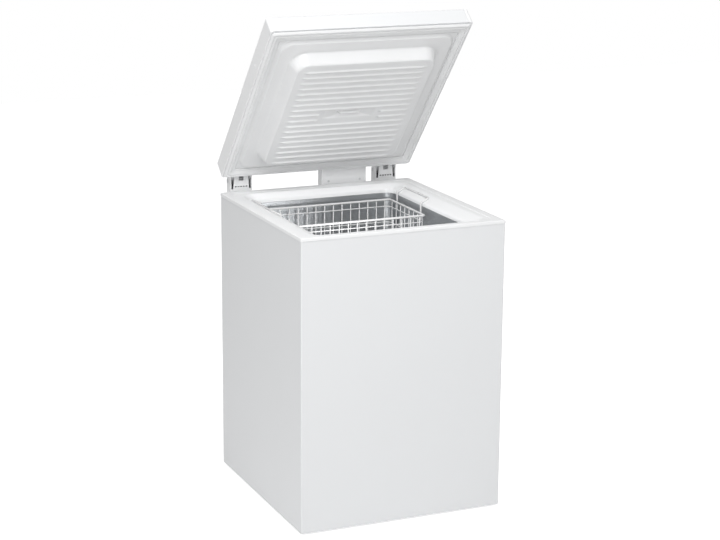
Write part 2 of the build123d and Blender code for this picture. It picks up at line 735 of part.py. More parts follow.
def rail_holes():
    x, y = COMPRESSOR_X, COMPRESSOR_Y
    return [
        (x + a * RAIL_HOLE_SPREAD / 2, y + b * RAIL_SPREAD / 2)
        for a in (-1, 1)
        for b in (-1, 1)
    ]


def can(inset, z0, z1):
    half_w = COMPRESSOR_WIDTH / 2 - inset
    half_d = COMPRESSOR_DEPTH / 2 - inset
    x, y = COMPRESSOR_X, COMPRESSOR_Y
    return rounded_block(x - half_w, x + half_w, y - half_d, y + half_d, z0, z1, COMPRESSOR_CORNER - inset)


def compressor_base():
    wall = COMPRESSOR_WALL
    cup = can(0, CAN_BOTTOM, SEAM_Z)
    cup = fillet(cup.edges().group_by(Axis.Z)[0], COMPRESSOR_DOME)
    hollow = can(wall, CAN_BOTTOM + wall, SEAM_Z)
    hollow = fillet(hollow.edges().group_by(Axis.Z)[0], COMPRESSOR_DOME - wall)
    return cup + can(-COMPRESSOR_FLANGE, SEAM_Z - wall, SEAM_Z) - hollow


def compressor_dome():
    wall = COMPRESSOR_WALL
    top = CAN_BOTTOM + COMPRESSOR_HEIGHT
    cup = can(0, SEAM_Z, top)
    cup = fillet(cup.edges().group_by(Axis.Z)[-1], COMPRESSOR_DOME)
    hollow = can(wall, SEAM_Z, top - wall)
    hollow = fillet(hollow.edges().group_by(Axis.Z)[-1], COMPRESSOR_DOME - wall)
    return cup + can(-COMPRESSOR_FLANGE, SEAM_Z, SEAM_Z + wall) - hollow


def compressor_motor():
    floor = CAN_BOTTOM + COMPRESSOR_WALL
    x, y = COMPRESSOR_X, COMPRESSOR_Y
    pedestal = rod((x, y, floor), (0, 0, 1), MOTOR_PEDESTAL, MOTOR_LIFT)
    return pedestal + rod((x, y, floor + MOTOR_LIFT), (0, 0, 1), MOTOR_DIAMETER, MOTOR_HEIGHT)


def compressor_rail(y):
    half = RAIL_WIDTH / 2
    x = COMPRESSOR_X
    bar = block(x - RAIL_LENGTH / 2, x + RAIL_LENGTH / 2, y - half, y + half, RAIL_BOTTOM, CAN_BOTTOM)
    hole = GROMMET_NECK + 2 * FIT_GAP
    return bar - [rod((hx, y, RAIL_BOTTOM), (0, 0, 1), hole, RAIL_THICKNESS) for hx, _ in rail_holes()]


def compressor_grommet(x, y):
    pad = rod((x, y, PAN_TOP), (0, 0, 1), GROMMET_DIAMETER, GROMMET_HEIGHT)
    neck = rod((x, y, PAN_TOP), (0, 0, 1), GROMMET_NECK, GROMMET_HEIGHT + RAIL_THICKNESS)
    bore = rod((x, y, PAN_TOP), (0, 0, 1), BOLT_DIAMETER + SCREW_CLEARANCE, FAR)
    return pad + neck - bore


def compressor_bolt(x, y):
    length = CAN_BOTTOM - FOOT_HEIGHT
    return screw((x, y, CAN_BOTTOM), (0, 0, 1), BOLT_HEAD, BOLT_HEAD_HEIGHT, BOLT_DIAMETER, length)


def relay_cover():
    x, y, z = COMPRESSOR_X + COMPRESSOR_WIDTH / 2, COMPRESSOR_Y, SEAM_Z + COMPRESSOR_WALL + FIT_GAP
    box = block(x, x + RELAY_WIDTH, y - RELAY_DEPTH / 2, y + RELAY_DEPTH / 2, z, z + RELAY_HEIGHT)
    return fillet(box.edges().group_by(Axis.X)[-1], BOX_CORNER)


# Machine bay

def bay_partition():
    t = PARTITION_SHEET
    half = INSIDE_HALF
    sheet = block(-half, half, BAY_FRONT, BAY_FRONT + t, PAN_TOP, BAY_TOP)
    sheet += block(-half, half, BAY_FRONT, INSIDE_BACK - INSIDE_CORNER, BAY_TOP - t, BAY_TOP)
    tails = [
        (EVAPORATOR_IN_X, EVAPORATOR_BACK), (EVAPORATOR_OUT_X, EVAPORATOR_BACK + EVAPORATOR_BACKSET),
        (-CONDENSER_HALF, CONDENSER_TAIL_Y), (DRIER_X, CONDENSER_TAIL_Y),
    ]
    sheet -= [rod((x, y, TAIL_Z), (0, 0, 1), TUBE_DIAMETER + 2 * FIT_GAP, FAR) for x, y in tails]
    return sheet - drain_hole()


def bay_grille():
    half = SHELL_HALF - PANEL_INSET
    plate = block(-half, half, RETURN_BACK, SHELL_BACK, FOOT_HEIGHT + PANEL_INSET, BAY_TOP - FIT_GAP)
    slots = [
        block(
            side * LOUVRE_OFFSET - LOUVRE_LENGTH / 2, side * LOUVRE_OFFSET + LOUVRE_LENGTH / 2,
            RETURN_BACK, SHELL_BACK,
            LOUVRE_LOW + row * LOUVRE_PITCH, LOUVRE_LOW + row * LOUVRE_PITCH + LOUVRE_HEIGHT,
        )
        for side in (-1, 1)
        for row in range(LOUVRE_ROWS)
    ]
    gland = rod((GLAND_X, RETURN_BACK, GLAND_HEIGHT), (0, 1, 0), GLAND_DIAMETER + 2 * FIT_GAP, PANEL_SHEET)
    return plate - slots - gland - back_holes(GRILLE_SCREWS, SCREW_CLEARANCE)


def cable_gland():
    wall = GLAND_FLANGE - GLAND_DIAMETER
    end = SHELL_BACK + wall / 2
    flange = rod((GLAND_X, SHELL_BACK, GLAND_HEIGHT), (0, 1, 0), GLAND_FLANGE, wall / 2)
    neck = rod((GLAND_X, end, GLAND_HEIGHT), (0, -1, 0), GLAND_DIAMETER, GLAND_LENGTH)
    return flange + neck - rod((GLAND_X, end, GLAND_HEIGHT), (0, -1, 0), GLAND_BORE, GLAND_LENGTH)


# Drain

def drain_tube():
    inner = STEP_FRONT - DRAIN_FLANGE_HEIGHT
    length = BAY_FRONT + DRAIN_TAIL - inner
    pipe = rod((DRAIN_X, inner, DRAIN_Z), (0, 1, 0), DRAIN_DIAMETER, length)
    pipe += rod((DRAIN_X, inner, DRAIN_Z), (0, 1, 0), DRAIN_FLANGE, DRAIN_FLANGE_HEIGHT)
    return pipe - rod((DRAIN_X, inner, DRAIN_Z), (0, 1, 0), DRAIN_BORE, length)


def drain_plug():
    seat = STEP_FRONT - DRAIN_FLANGE_HEIGHT - FIT_GAP
    stem = rod((DRAIN_X, seat, DRAIN_Z), (0, 1, 0), DRAIN_BORE - 2 * FIT_GAP, PLUG_LENGTH)
    head = rod((DRAIN_X, seat, DRAIN_Z), (0, -1, 0), DRAIN_FLANGE, PLUG_HEAD)
    half = PLUG_GRIP_WIDTH / 2
    tall = DRAIN_FLANGE / 2 - PLUG_HEAD
    front = seat - PLUG_HEAD - PLUG_GRIP
    grip = block(DRAIN_X - half, DRAIN_X + half, front, seat, DRAIN_Z - tall, DRAIN_Z + tall)
    return stem + head + grip


# Control box

def control_box():
    left, right = BOX_CENTRE - BOX_WIDTH / 2, BOX_CENTRE + BOX_WIDTH / 2
    low, w = RIM_HEIGHT - BOX_DROP, BOX_WALL
    case = block(left, right, BOX_FRONT, BOX_BACK, low, BOX_TOP)
    case = fillet(case.edges().filter_by(Axis.Z), BOX_CORNER)
    under_rim = RIM_HEIGHT - COLLAR_SKIRT - RUNNING_GAP
    case += block(left + BOX_CORNER, right - BOX_CORNER, SHELL_BACK, BOX_FRONT + w, low, under_rim)
    ear_low, ear_high = RIM_HEIGHT - BOX_EAR_LOW, RIM_HEIGHT - BOX_EAR_HIGH
    case += block(left - BOX_EAR, right + BOX_EAR, SHELL_BACK, BOX_FRONT + w, ear_low, ear_high)
    case -= block(left + w, right - w, BOX_FRONT + w, BOX_BACK - w, low + w, BOX_TOP)
    for x, z in box_screws():
        case += rod((x, BOX_FRONT, z), (0, 1, 0), BOX_BOSS, BOX_BOSS_LENGTH)
        case -= rod((x, BOX_FRONT, z), (0, 1, 0), SMALL_SCREW_SHANK + SCREW_CLEARANCE, BOX_BOSS_LENGTH)
    return case - back_holes(EAR_SCREWS, SCREW_CLEARANCE)


def box_screws():
    z = RIM_HEIGHT + BOX_SCREW_RISE
    return [(BOX_CENTRE + side * BOX_SCREW_SPREAD / 2, z) for side in (-1, 1)]


def lamp_places():
    return [BOX_CENTRE + LAMP_FIRST_X + lamp * LAMP_PITCH for lamp in range(LAMP_COUNT)]


def control_panel():
    left, right = BOX_CENTRE - BOX_WIDTH / 2, BOX_CENTRE + BOX_WIDTH / 2
    plate = rounded_block(left, right, BOX_FRONT, BOX_BACK, BOX_TOP, PANEL_TOP, BOX_CORNER)
    hole = SPINDLE_DIAMETER + 2 * RUNNING_GAP
    plate -= rod((BOX_CENTRE + KNOB_X, KNOB_Y, BOX_TOP), (0, 0, 1), hole, PANEL_PLATE)
    lens = LAMP_DIAMETER + SCREW_CLEARANCE
    return plate - [rod((x, KNOB_Y, BOX_TOP), (0, 0, 1), lens, PANEL_PLATE) for x in lamp_places()]


def indicator_lamp(x):
    lens = rod((x, KNOB_Y, BOX_TOP), (0, 0, 1), LAMP_DIAMETER, PANEL_PLATE + LAMP_PROUD)
    return fillet(lens.edges().group_by(Axis.Z)[-1], LAMP_PROUD)


def thermostat():
    x, y = BOX_CENTRE + KNOB_X, KNOB_Y
    half_w, half_d = THERMOSTAT_WIDTH / 2, THERMOSTAT_DEPTH / 2
    case = block(x - half_w, x + half_w, y - half_d, y + half_d, BOX_TOP - THERMOSTAT_HEIGHT, BOX_TOP)
    bore = SPINDLE_DIAMETER + 2 * SPINDLE_CLEARANCE
    depth = SPINDLE_REACH + FIT_GAP
    return case - rod((x, y, BOX_TOP), (0, 0, -1), bore, depth)


def thermostat_spindle():
    length = SPINDLE_REACH + PANEL_PLATE + RUNNING_GAP + KNOB_HEIGHT - KNOB_ROOF
    return rod((BOX_CENTRE + KNOB_X, KNOB_Y, BOX_TOP - SPINDLE_REACH), (0, 0, 1), SPINDLE_DIAMETER, length)


def thermostat_knob():
    x, y, z = BOX_CENTRE + KNOB_X, KNOB_Y, PANEL_TOP + RUNNING_GAP
    knob = rod((x, y, z), (0, 0, 1), KNOB_DIAMETER, KNOB_HEIGHT)
    knob = fillet(knob.edges().group_by(Axis.Z)[-1], KNOB_ROOF / 2)
    flutes = []
    for flute in range(KNOB_FLUTES):
        angle = 2 * math.pi * flute / KNOB_FLUTES
        fx, fy = x + KNOB_DIAMETER / 2 * math.cos(angle), y + KNOB_DIAMETER / 2 * math.sin(angle)
        flutes.append(rod((fx, fy, z), (0, 0, 1), KNOB_FLUTE_DIAMETER, KNOB_HEIGHT))
    bore = rod((x, y, z), (0, 0, 1), SPINDLE_DIAMETER + 2 * SPINDLE_CLEARANCE, KNOB_HEIGHT - KNOB_ROOF)
    return knob - flutes - bore


# Counterbalanced hinges

def hinge_body(x):
    half, inner = HINGE_HALF, HINGE_HALF - CHEEK_SHEET
    low, top = RIM_HEIGHT - HINGE_DROP, RIM_HEIGHT + HINGE_TOP
    under_rim = RIM_HEIGHT - COLLAR_SKIRT - RUNNING_GAP
    cheek = [
        (SHELL_BACK, low), (SHELL_BACK, under_rim), (HINGE_PLATE_FRONT, under_rim), (HINGE_PLATE_FRONT, top),
        (AXIS_Y, top), (HINGE_BACK, RIM_HEIGHT + HINGE_SHOULDER), (HINGE_BACK, low),
    ]
    body = side_profile(cheek, x - half, x - inner) + side_profile(cheek, x + inner, x + half)
    body += front_plate(x)
    body += block(x - half, x + half, SHELL_BACK, HINGE_PLATE_BACK, under_rim - HINGE_PLATE, under_rim)
    rear = HINGE_BACK - HINGE_PLATE
    body += block(x - half, x + half, rear, HINGE_BACK, low, RIM_HEIGHT + HINGE_REAR_TOP)
    notch = CAM_NOTCH / 2
    body -= block(x - notch, x + notch, rear, HINGE_BACK, RIM_HEIGHT + CAM_NOTCH_LOW, top)
    hood = EAR_INNER - HOOD_INSET
    shoulder = RIM_HEIGHT + HINGE_SHOULDER
    roof = [
        (rear, RIM_HEIGHT + HINGE_REAR_TOP), (HINGE_BACK, RIM_HEIGHT + HINGE_REAR_TOP),
        (HINGE_BACK, shoulder), (AXIS_Y, top), (AXIS_Y, top - HOOD_EDGE), (rear, shoulder),
    ]
    body += side_profile(roof, x - hood, x + hood)
    body += block(x - half, x + half, SHELL_BACK, HINGE_BACK, low, low + CHEEK_SHEET)
    wing = half + WING_WIDTH
    wing_back = SHELL_BACK + WING_SHEET
    for left, right in ((x - wing, x - inner), (x + inner, x + wing)):
        body += block(left, right, SHELL_BACK, wing_back, RIM_HEIGHT - WING_LOW, RIM_HEIGHT - WING_HIGH)
    body -= rod((x - half, AXIS_Y, AXIS_Z), (1, 0, 0), PIN_DIAMETER + 2 * PIN_CLEARANCE, HINGE_WIDTH)
    return body - back_holes(WING_SCREWS, SCREW_CLEARANCE)


def front_plate(x):
    """The plate towards the lid, with a tapered slot for each ear, a notch and a row of vents."""
    y0, y1 = HINGE_PLATE_FRONT, HINGE_PLATE_BACK
    top = RIM_HEIGHT + HINGE_TOP
    plate = block(x - HINGE_HALF, x + HINGE_HALF, y0, y1, RIM_HEIGHT - HINGE_PLATE_DROP, top)
    plate -= block(x - NOTCH_WIDTH / 2, x + NOTCH_WIDTH / 2, y0, y1, RIM_HEIGHT + NOTCH_LOW, top)
    low = RIM_HEIGHT + SLOT_LOW
    for side in (-1, 1):
        inner, outer = x + side * EAR_INNER, x + side * EAR_OUTER
        slot = [
            (inner - side * SLOT_LOW_MARGIN, low), (outer + side * SLOT_LOW_MARGIN, low),
            (outer + side * SLOT_TOP_MARGIN, top), (inner - side * SLOT_TOP_MARGIN, top),
        ]
        face = Plane.XZ.offset(-y1) * make_face(Polyline(*slot, close=True))
        plate -= extrude(face, amount=HINGE_PLATE)
    first = x - VENT_PITCH * (VENT_COUNT - 1) / 2
    for vent in range(VENT_COUNT):
        middle = first + vent * VENT_PITCH
        z = RIM_HEIGHT + VENT_RISE
        plate -= block(middle - VENT_WIDTH / 2, middle + VENT_WIDTH / 2, y0, y1, z, z + VENT_HEIGHT)
    return plate


def hinge_pin(x):
    reach = HINGE_HALF
    pin = rod((x - reach, AXIS_Y, AXIS_Z), (1, 0, 0), PIN_DIAMETER, 2 * reach)
    pin += rod((x - reach, AXIS_Y, AXIS_Z), (-1, 0, 0), PIN_HEAD, PIN_HEAD_HEIGHT)
    return pin + rod((x + reach, AXIS_Y, AXIS_Z), (1, 0, 0), PIN_HEAD, PIN_HEAD_HEIGHT)


def cam_outline():
    """An involute: as the lid turns, its flat slider moves CAM_BASE for each radian."""
    points = []
    for turn in spread(0, math.radians(LID_TRAVEL), CAM_POINTS):
        y, z = -CAM_BASE, CAM_BASE * turn - CAM_REACH
        back_y = y * math.cos(turn) - z * math.sin(turn)
        back_z = y * math.sin(turn) + z * math.cos(turn)
        points.append((AXIS_Y + back_y, AXIS_Z + back_z))
    return points


def hinge_bracket(x):
    plate = block(
        x - EAR_OUTER, x + EAR_OUTER, LID_REAR, LID_REAR + BRACKET_SHEET,
        RIM_HEIGHT + BRACKET_LOW, RIM_HEIGHT + BRACKET_HIGH,
    )
    eye = EYE_DIAMETER / 2
    ear = [
        (LID_REAR, RIM_HEIGHT + EAR_LOW), (LID_REAR, RIM_HEIGHT + EAR_HIGH),
        (AXIS_Y, AXIS_Z + eye), (AXIS_Y, AXIS_Z - eye),
    ]
    bracket = plate + rod((x - EAR_OUTER, AXIS_Y, AXIS_Z), (1, 0, 0), EYE_DIAMETER, 2 * EAR_OUTER)
    for left in (x - EAR_OUTER, x + EAR_INNER):
        bracket += side_profile(ear, left, left + EAR_SHEET)
    face = cam_outline()
    flank = Polyline(face[-1], (AXIS_Y + eye, AXIS_Z), (AXIS_Y - eye, AXIS_Z), face[0])
    lobe = make_face(Spline(*face) + flank)
    bracket += extrude(Plane.YZ.offset(x - CAM_WIDTH / 2) * lobe, amount=CAM_WIDTH)
    bore = PIN_DIAMETER + 2 * PIN_CLEARANCE
    bracket -= rod((x - EAR_OUTER, AXIS_Y, AXIS_Z), (1, 0, 0), bore, 2 * EAR_OUTER)
    outer = LID_REAR + BRACKET_SHEET
    for sx, sz in bracket_screws(x):
        hole = FLUSH_SCREW_SHANK + SCREW_CLEARANCE
        bracket -= rod((sx, outer, sz), (0, -1, 0), hole, BRACKET_SHEET)
        bracket -= rod((sx, outer, sz), (0, -1, 0), FLUSH_SCREW_HEAD + SCREW_CLEARANCE, FLUSH_SCREW_HEIGHT)
    return bracket


def bracket_screws(x):
    return [
        (x + side * BRACKET_SCREW_SPREAD / 2, RIM_HEIGHT + rise)
        for side in (-1, 1)
        for rise in (BRACKET_SCREW_LOW, BRACKET_SCREW_HIGH)
    ]


def bracket_screw(x, z):
    seat = LID_REAR + BRACKET_SHEET - FLUSH_SCREW_HEIGHT
    sizes = (FLUSH_SCREW_HEAD, FLUSH_SCREW_HEIGHT, FLUSH_SCREW_SHANK, FLUSH_SCREW_LENGTH)
    return screw((x, seat, z), (0, 1, 0), *sizes)


def bracket_holes(extra):
    return [
        rod((sx, LID_REAR, sz), (0, -1, 0), FLUSH_SCREW_SHANK + extra, FLUSH_SCREW_LENGTH)
        for x in HINGE_XS.values()
        for sx, sz in bracket_screws(x)
    ]


def hinge_slider(x):
    half = HINGE_HALF - CHEEK_SHEET - RUNNING_GAP
    shoe = block(x - half, x + half, SLIDER_FRONT, SLIDER_BACK, SLIDER_TOP - SLIDER_HEIGHT, SLIDER_TOP)
    return chamfer(shoe.edges().filter_by(Axis.Z), RUNNING_GAP)


def hinge_spring(x):
    """A compression spring between the housing's floor and the slider, in quarter-turn arcs."""
    wire = SPRING_WIRE / 2
    low = RIM_HEIGHT - HINGE_DROP + CHEEK_SHEET + FIT_GAP + wire
    high = SLIDER_TOP - SLIDER_HEIGHT - FIT_GAP - wire
    y = (SLIDER_FRONT + SLIDER_BACK) / 2
    climb = (high - low) / (4 * SPRING_TURNS)

    def on_helix(quarter):
        angle = math.pi / 2 * quarter
        across, along = SPRING_RADIUS * math.cos(angle), SPRING_RADIUS * math.sin(angle)
        return (x + across, y + along, low + climb * quarter)

    arcs = [ThreePointArc(on_helix(q), on_helix(q + 0.5), on_helix(q + 1)) for q in range(4 * SPRING_TURNS)]
    path = Wire(arcs)
    return sweep(Plane(origin=path @ 0, z_dir=path % 0) * Circle(wire), path=path)


# Lid, modelled closed and turned to its stored angle when it is saved

def lid_skin():
    t = LID_SHEET
    outside = [(LID_FRONT + LID_LIP, LID_BOTTOM), (LID_FRONT, LID_BOTTOM), (LID_FRONT, LID_TOP)]
    outside += [(LID_REAR, LID_TOP), (LID_REAR, LID_BOTTOM), (LID_REAR - LID_LIP, LID_BOTTOM)]
    inside = [(LID_REAR - LID_LIP, LID_BOTTOM + t), (LID_REAR - t, LID_BOTTOM + t)]
    inside += [(LID_REAR - t, LID_TOP - t), (LID_FRONT + t, LID_TOP - t)]
    inside += [(LID_FRONT + t, LID_BOTTOM + t), (LID_FRONT + LID_LIP, LID_BOTTOM + t)]
    sheet = make_face(Polyline(*outside, *inside, close=True))
    sheet = fillet(sheet.vertices().sort_by(Axis.Y)[-4:-2], LID_EDGE - t)
    sheet = fillet(sheet.vertices().sort_by(Axis.Y)[-2:], LID_EDGE)
    skin = extrude(Plane.YZ.offset(-LID_INSIDE_HALF) * sheet, amount=2 * LID_INSIDE_HALF)
    return skin - bracket_holes(SCREW_CLEARANCE)


def lid_trim(side):
    inner, outer = side * (LID_HALF - TRIM_WRAP), side * LID_HALF
    x0, x1 = min(inner, outer), max(inner, outer)
    front, top = LID_FRONT - TRIM_PROUD, LID_TOP + TRIM_PROUD
    cap = block(x0, x1, front, LID_REAR, LID_BOTTOM, top)
    far_side = -1 if side > 0 else 0
    cap = fillet(cap.edges().filter_by(Axis.Z).group_by(Axis.X)[far_side], TRIM_CORNER)
    rim = cap.edges().group_by(Axis.Z)[-1].filter_by(lambda edge: abs(edge.center().X - inner) > FIT_GAP)
    cap = fillet(rim, TRIM_EDGE)
    w = TRIM_WALL
    hollow = (min(inner, outer - side * w), max(inner, outer - side * w))
    cap -= block(*hollow, front + w, LID_REAR - w, LID_BOTTOM + w, top - w)
    return cap - plug_hole(side)


def plug_hole(side):
    y, z = LID_REAR - SIDE_PLUG_BACK, LID_BOTTOM + SIDE_PLUG_RISE
    return rod((side * LID_HALF, y, z), (-side, 0, 0), SIDE_PLUG_STEM + FIT_GAP, TRIM_WALL)


def side_plug(side):
    y, z = LID_REAR - SIDE_PLUG_BACK, LID_BOTTOM + SIDE_PLUG_RISE
    start = (side * LID_HALF, y, z)
    return screw(start, (side, 0, 0), SIDE_PLUG_DIAMETER, SIDE_PLUG_PROUD, SIDE_PLUG_STEM, TRIM_WALL)


def lid_form(inset, lift, top):
    """The two-step plateau under the lid, inset and lifted for its inner face."""
    def step_rect(shrink):
        s = shrink + inset
        return (
            STEP_MARGIN_SIDE + s - LID_HALF, LID_HALF - STEP_MARGIN_SIDE - s,
            LID_FRONT + STEP_MARGIN_FRONT + s, LID_REAR - STEP_MARGIN_REAR - s,
        )

    def plateau_rect(side_shrink, end_shrink):
        s, e = side_shrink + inset, end_shrink + inset
        return (
            PLATEAU_MARGIN_SIDE + s - LID_HALF, LID_HALF - PLATEAU_MARGIN_SIDE - s,
            LID_FRONT + PLATEAU_MARGIN_FRONT + e, LID_REAR - PLATEAU_MARGIN_REAR - e,
        )

    base = LID_BOTTOM + lift
    step_z, low_z = base - STEP_DEPTH, base - PLATEAU_DEPTH
    step = loft([
        rounded_face(*step_rect(STEP_DRAFT), step_z, STEP_CORNER - STEP_DRAFT - inset),
        rounded_face(*step_rect(0), base, STEP_CORNER - inset),
    ])
    low_rect = plateau_rect(PLATEAU_DRAFT_SIDE, PLATEAU_DRAFT_END)
    plateau = loft([
        rounded_face(*low_rect, low_z, PLATEAU_CORNER - PLATEAU_DRAFT_END),
        rounded_face(*plateau_rect(0, 0), step_z, PLATEAU_CORNER),
    ])
    return step + plateau + rounded_block(*step_rect(0), base, top, STEP_CORNER - inset)


def lid_ribs():
    """Rounded ribs across the plateau. The two in the middle stop at each side of the recess."""
    radius = (RIB_WIDTH ** 2 / 4 + RIB_HEIGHT ** 2) / (2 * RIB_HEIGHT)
    z = LID_BOTTOM - PLATEAU_DEPTH - RIB_HEIGHT + radius
    half, field = RIB_LENGTH / 2, RECESS_WIDTH / 2
    ribs = []
    for number in range(RIB_COUNT):
        from_middle = number - (RIB_COUNT - 1) / 2
        y = LID_REAR - RIB_CENTRE + from_middle * RIB_PITCH
        spans = [(-half, half)] if abs(from_middle) > 1 else [(-half, -field), (field, half)]
        ribs += [rod((x0, y, z), (1, 0, 0), 2 * radius, x1 - x0) for x0, x1 in spans]
    return ribs


def recess_backing(grow):
    """The sheet behind the recess, which stands into the lid's foam."""
    half, reach = RECESS_REACH + LID_LINER + grow, RECESS_LENGTH / 2 + LID_LINER + grow
    y, z = LID_REAR - RECESS_CENTRE, LID_BOTTOM - PLATEAU_DEPTH
    return block(-half, half, y - reach, y + reach, z + LID_LINER / 2, z + RECESS_DEPTH + LID_LINER + grow)


def recess_pocket():
    """The recess itself: deepest along the bar, and rising to nothing towards both ends."""
    z = LID_BOTTOM - PLATEAU_DEPTH
    bar, reach = RECESS_BAR / 2, RECESS_REACH
    back = LID_REAR - RECESS_CENTRE + RECESS_LENGTH / 2
    outline = [(-reach, z), (reach, z), (bar, z + RECESS_DEPTH), (-bar, z + RECESS_DEPTH)]
    face = make_face(Polyline(*outline, close=True))
    return extrude(Plane.XZ.offset(-back) * face, amount=RECESS_LENGTH)


def recess_bar():
    """The small bar that stands in the middle of the recess."""
    bar, wide = RECESS_BAR / 2, RECESS_BAR_WIDTH / 2
    y, z = LID_REAR - RECESS_BAR_BACK, LID_BOTTOM - PLATEAU_DEPTH
    top = z + RECESS_DEPTH + LID_LINER / 2
    return rounded_block(-bar, bar, y - wide, y + wide, z - RIB_HEIGHT, top, wide - FIT_GAP)


def lid_liner():
    edge = LID_LIP + FIT_GAP
    plate = block(
        -LID_INSIDE_HALF, LID_INSIDE_HALF, LID_FRONT + edge, LID_REAR - edge,
        LID_BOTTOM, LID_BOTTOM + LID_LINER,
    )
    pan = plate + lid_form(0, 0, LID_BOTTOM + LID_LINER) + lid_ribs()
    pan -= lid_form(LID_LINER, LID_LINER, LID_BOTTOM + 2 * LID_LINER)
    return pan + recess_backing(0) - recess_pocket() + recess_bar()


def lid_insulation():
    t = LID_SHEET + FIT_GAP
    half = LID_INSIDE_HALF - FIT_GAP
    low = LID_BOTTOM + LID_LINER + FIT_GAP
    core = block(-half, half, LID_FRONT + t, LID_REAR - t, low, LID_TOP - t)
    core = fillet(core.edges().filter_by(Axis.X).group_by(Axis.Z)[-1], LID_EDGE)
    core += lid_form(LID_LINER + FIT_GAP, LID_LINER + FIT_GAP, low + LID_LINER)
    return core - recess_backing(FIT_GAP) - bracket_holes(2 * SCREW_CLEARANCE)


def lid_gasket():
    half, front, rear = LID_HALF - GASKET_INSET, LID_FRONT + GASKET_INSET, LID_REAR - GASKET_INSET
    inner = LID_HALF - GASKET_MARGIN_SIDE
    inner_front, inner_rear = LID_FRONT + GASKET_MARGIN_END, LID_REAR - GASKET_MARGIN_END
    seat, low = LID_BOTTOM - GASKET_BASE, RIM_HEIGHT + FIT_GAP
    b = GASKET_BULB
    bulb = rounded_block(-half, half, front, rear, low, seat, GASKET_CORNER)
    bulb -= rounded_block(b - half, half - b, front + b, rear - b, low, seat, GASKET_CORNER)
    bulb = fillet(bulb.edges().group_by(Axis.Z)[0], GASKET_ROUND)
    base = rounded_block(-half, half, front, rear, seat, LID_BOTTOM, GASKET_CORNER)
    base -= rounded_block(-inner, inner, inner_front, inner_rear, seat, LID_BOTTOM, GASKET_CORNER)
    return base + bulb


# Hanging basket

def net(width, height, columns, rows):
    """A flat net: one face with a grid of square-cornered gaps, a wire thick."""
    cell_x = (width - BASKET_WIRE) / columns
    cell_y = (height - BASKET_WIRE) / rows
    gap = Rectangle(cell_x - BASKET_WIRE, cell_y - BASKET_WIRE)
    gaps = GridLocations(cell_x, cell_y, columns, rows) * gap
    return extrude(Rectangle(width, height) - gaps, amount=BASKET_WIRE / 2, both=True)


def basket_walls():
    width = 2 * BASKET_HALF
    across = round(width / BASKET_MESH)
    along = round(BASKET_DEPTH / BASKET_MESH)
    w = BASKET_WIRE
    middle_y = (BASKET_FRONT + BASKET_BACK) / 2
    middle_z = (BASKET_FLOOR + BASKET_NET_TOP) / 2
    long_net = Plane.XZ * net(width, BASKET_HEIGHT, across, BASKET_RAILS)
    room = 2 * (w + FIT_GAP)
    short_net = Plane.YZ * net(BASKET_DEPTH - room, BASKET_HEIGHT, along, BASKET_RAILS)
    floor_net = net(width - room, BASKET_DEPTH - room, across, along)
    end_x = BASKET_HALF - w / 2
    save("basket_front", Pos(0, BASKET_FRONT + w / 2, middle_z) * long_net)
    save("basket_back", Pos(0, BASKET_BACK - w / 2, middle_z) * long_net)
    save("basket_ends", *[Pos(side * end_x, middle_y, middle_z) * short_net for side in (-1, 1)])
    save("basket_floor", Pos(0, middle_y, BASKET_FLOOR + w / 2) * floor_net)


def basket_rim():
    inset = BASKET_WIRE / 2
    half = BASKET_HALF - inset
    middle = (BASKET_FRONT + BASKET_BACK) / 2
    loop = RectangleRounded(2 * half, BASKET_DEPTH - 2 * inset, BASKET_RIM_CORNER).wire()
    loop = Pos(0, middle, BASKET_RIM_Z) * loop
    return sweep(Plane(origin=loop @ 0, z_dir=loop % 0) * Circle(BASKET_RIM_WIRE / 2), path=loop)


def basket_hanger(side):
    """A wire bail from beside the basket's rim, up past the lip and out on the collar's shoulder."""
    clear = HANGER_WIRE / 2 + FIT_GAP
    slope = SHOULDER_DROP / SHOULDER_SIDE
    lift = clear * math.hypot(1, slope)

    def on_shoulder(x):
        return LIP_TOP + lift + (x - LIP_HALF) * slope

    rim_side = BASKET_HALF - BASKET_WIRE / 2 + BASKET_RIM_WIRE / 2
    rise_x = rim_side + HANGER_WIRE / 2 + FIT_GAP / 2
    out_x = LIP_HALF + HANGER_REACH
    foot_z = BASKET_RIM_Z - HANGER_FOOT
    middle = (BASKET_FRONT + BASKET_BACK) / 2
    half = HANGER_SPREAD / 2
    profile = [(rise_x, foot_z), (rise_x, on_shoulder(rise_x)), (out_x, on_shoulder(out_x))]
    points = [(side * x, middle - half, z) for x, z in profile]
    points += [(side * x, middle + half, z) for x, z in reversed(profile)]
    return tube(points, HANGER_WIRE, HANGER_BEND)


os.makedirs("parts", exist_ok=True)

save("outer_shell", outer_shell())
save("back_panel", back_panel())
save("back_panel_screws", *back_screws(PANEL_SCREWS, SHELL_BACK))
save("base_pan", base_pan())
save("feet", *[foot(x, y) for x, y in foot_places()])
save("top_collar", top_collar())
save("inner_liner", inner_liner())
save("insulation", insulation())

save("evaporator_tube", evaporator_tube())
save("condenser_tube", condenser_tube())
save("discharge_pipe", discharge_pipe())
save("suction_pipe", suction_pipe())
save("drier", drier())
save("capillary_tube", capillary_tube())
save("compressor_base", compressor_base())
save("compressor_dome", compressor_dome())
save("compressor_motor", compressor_motor())
save("compressor_rails", *[compressor_rail(COMPRESSOR_Y + side * RAIL_SPREAD / 2) for side in (-1, 1)])
save("compressor_grommets", *[compressor_grommet(x, y) for x, y in rail_holes()])
save("compressor_bolts", *[compressor_bolt(x, y) for x, y in rail_holes()])
save("relay_cover", relay_cover())

save("bay_partition", bay_partition())
save("bay_grille", bay_grille())
save("bay_grille_screws", *back_screws(GRILLE_SCREWS, SHELL_BACK))
save("cable_gland", cable_gland())
save("drain_tube", drain_tube())
save("drain_plug", drain_plug())

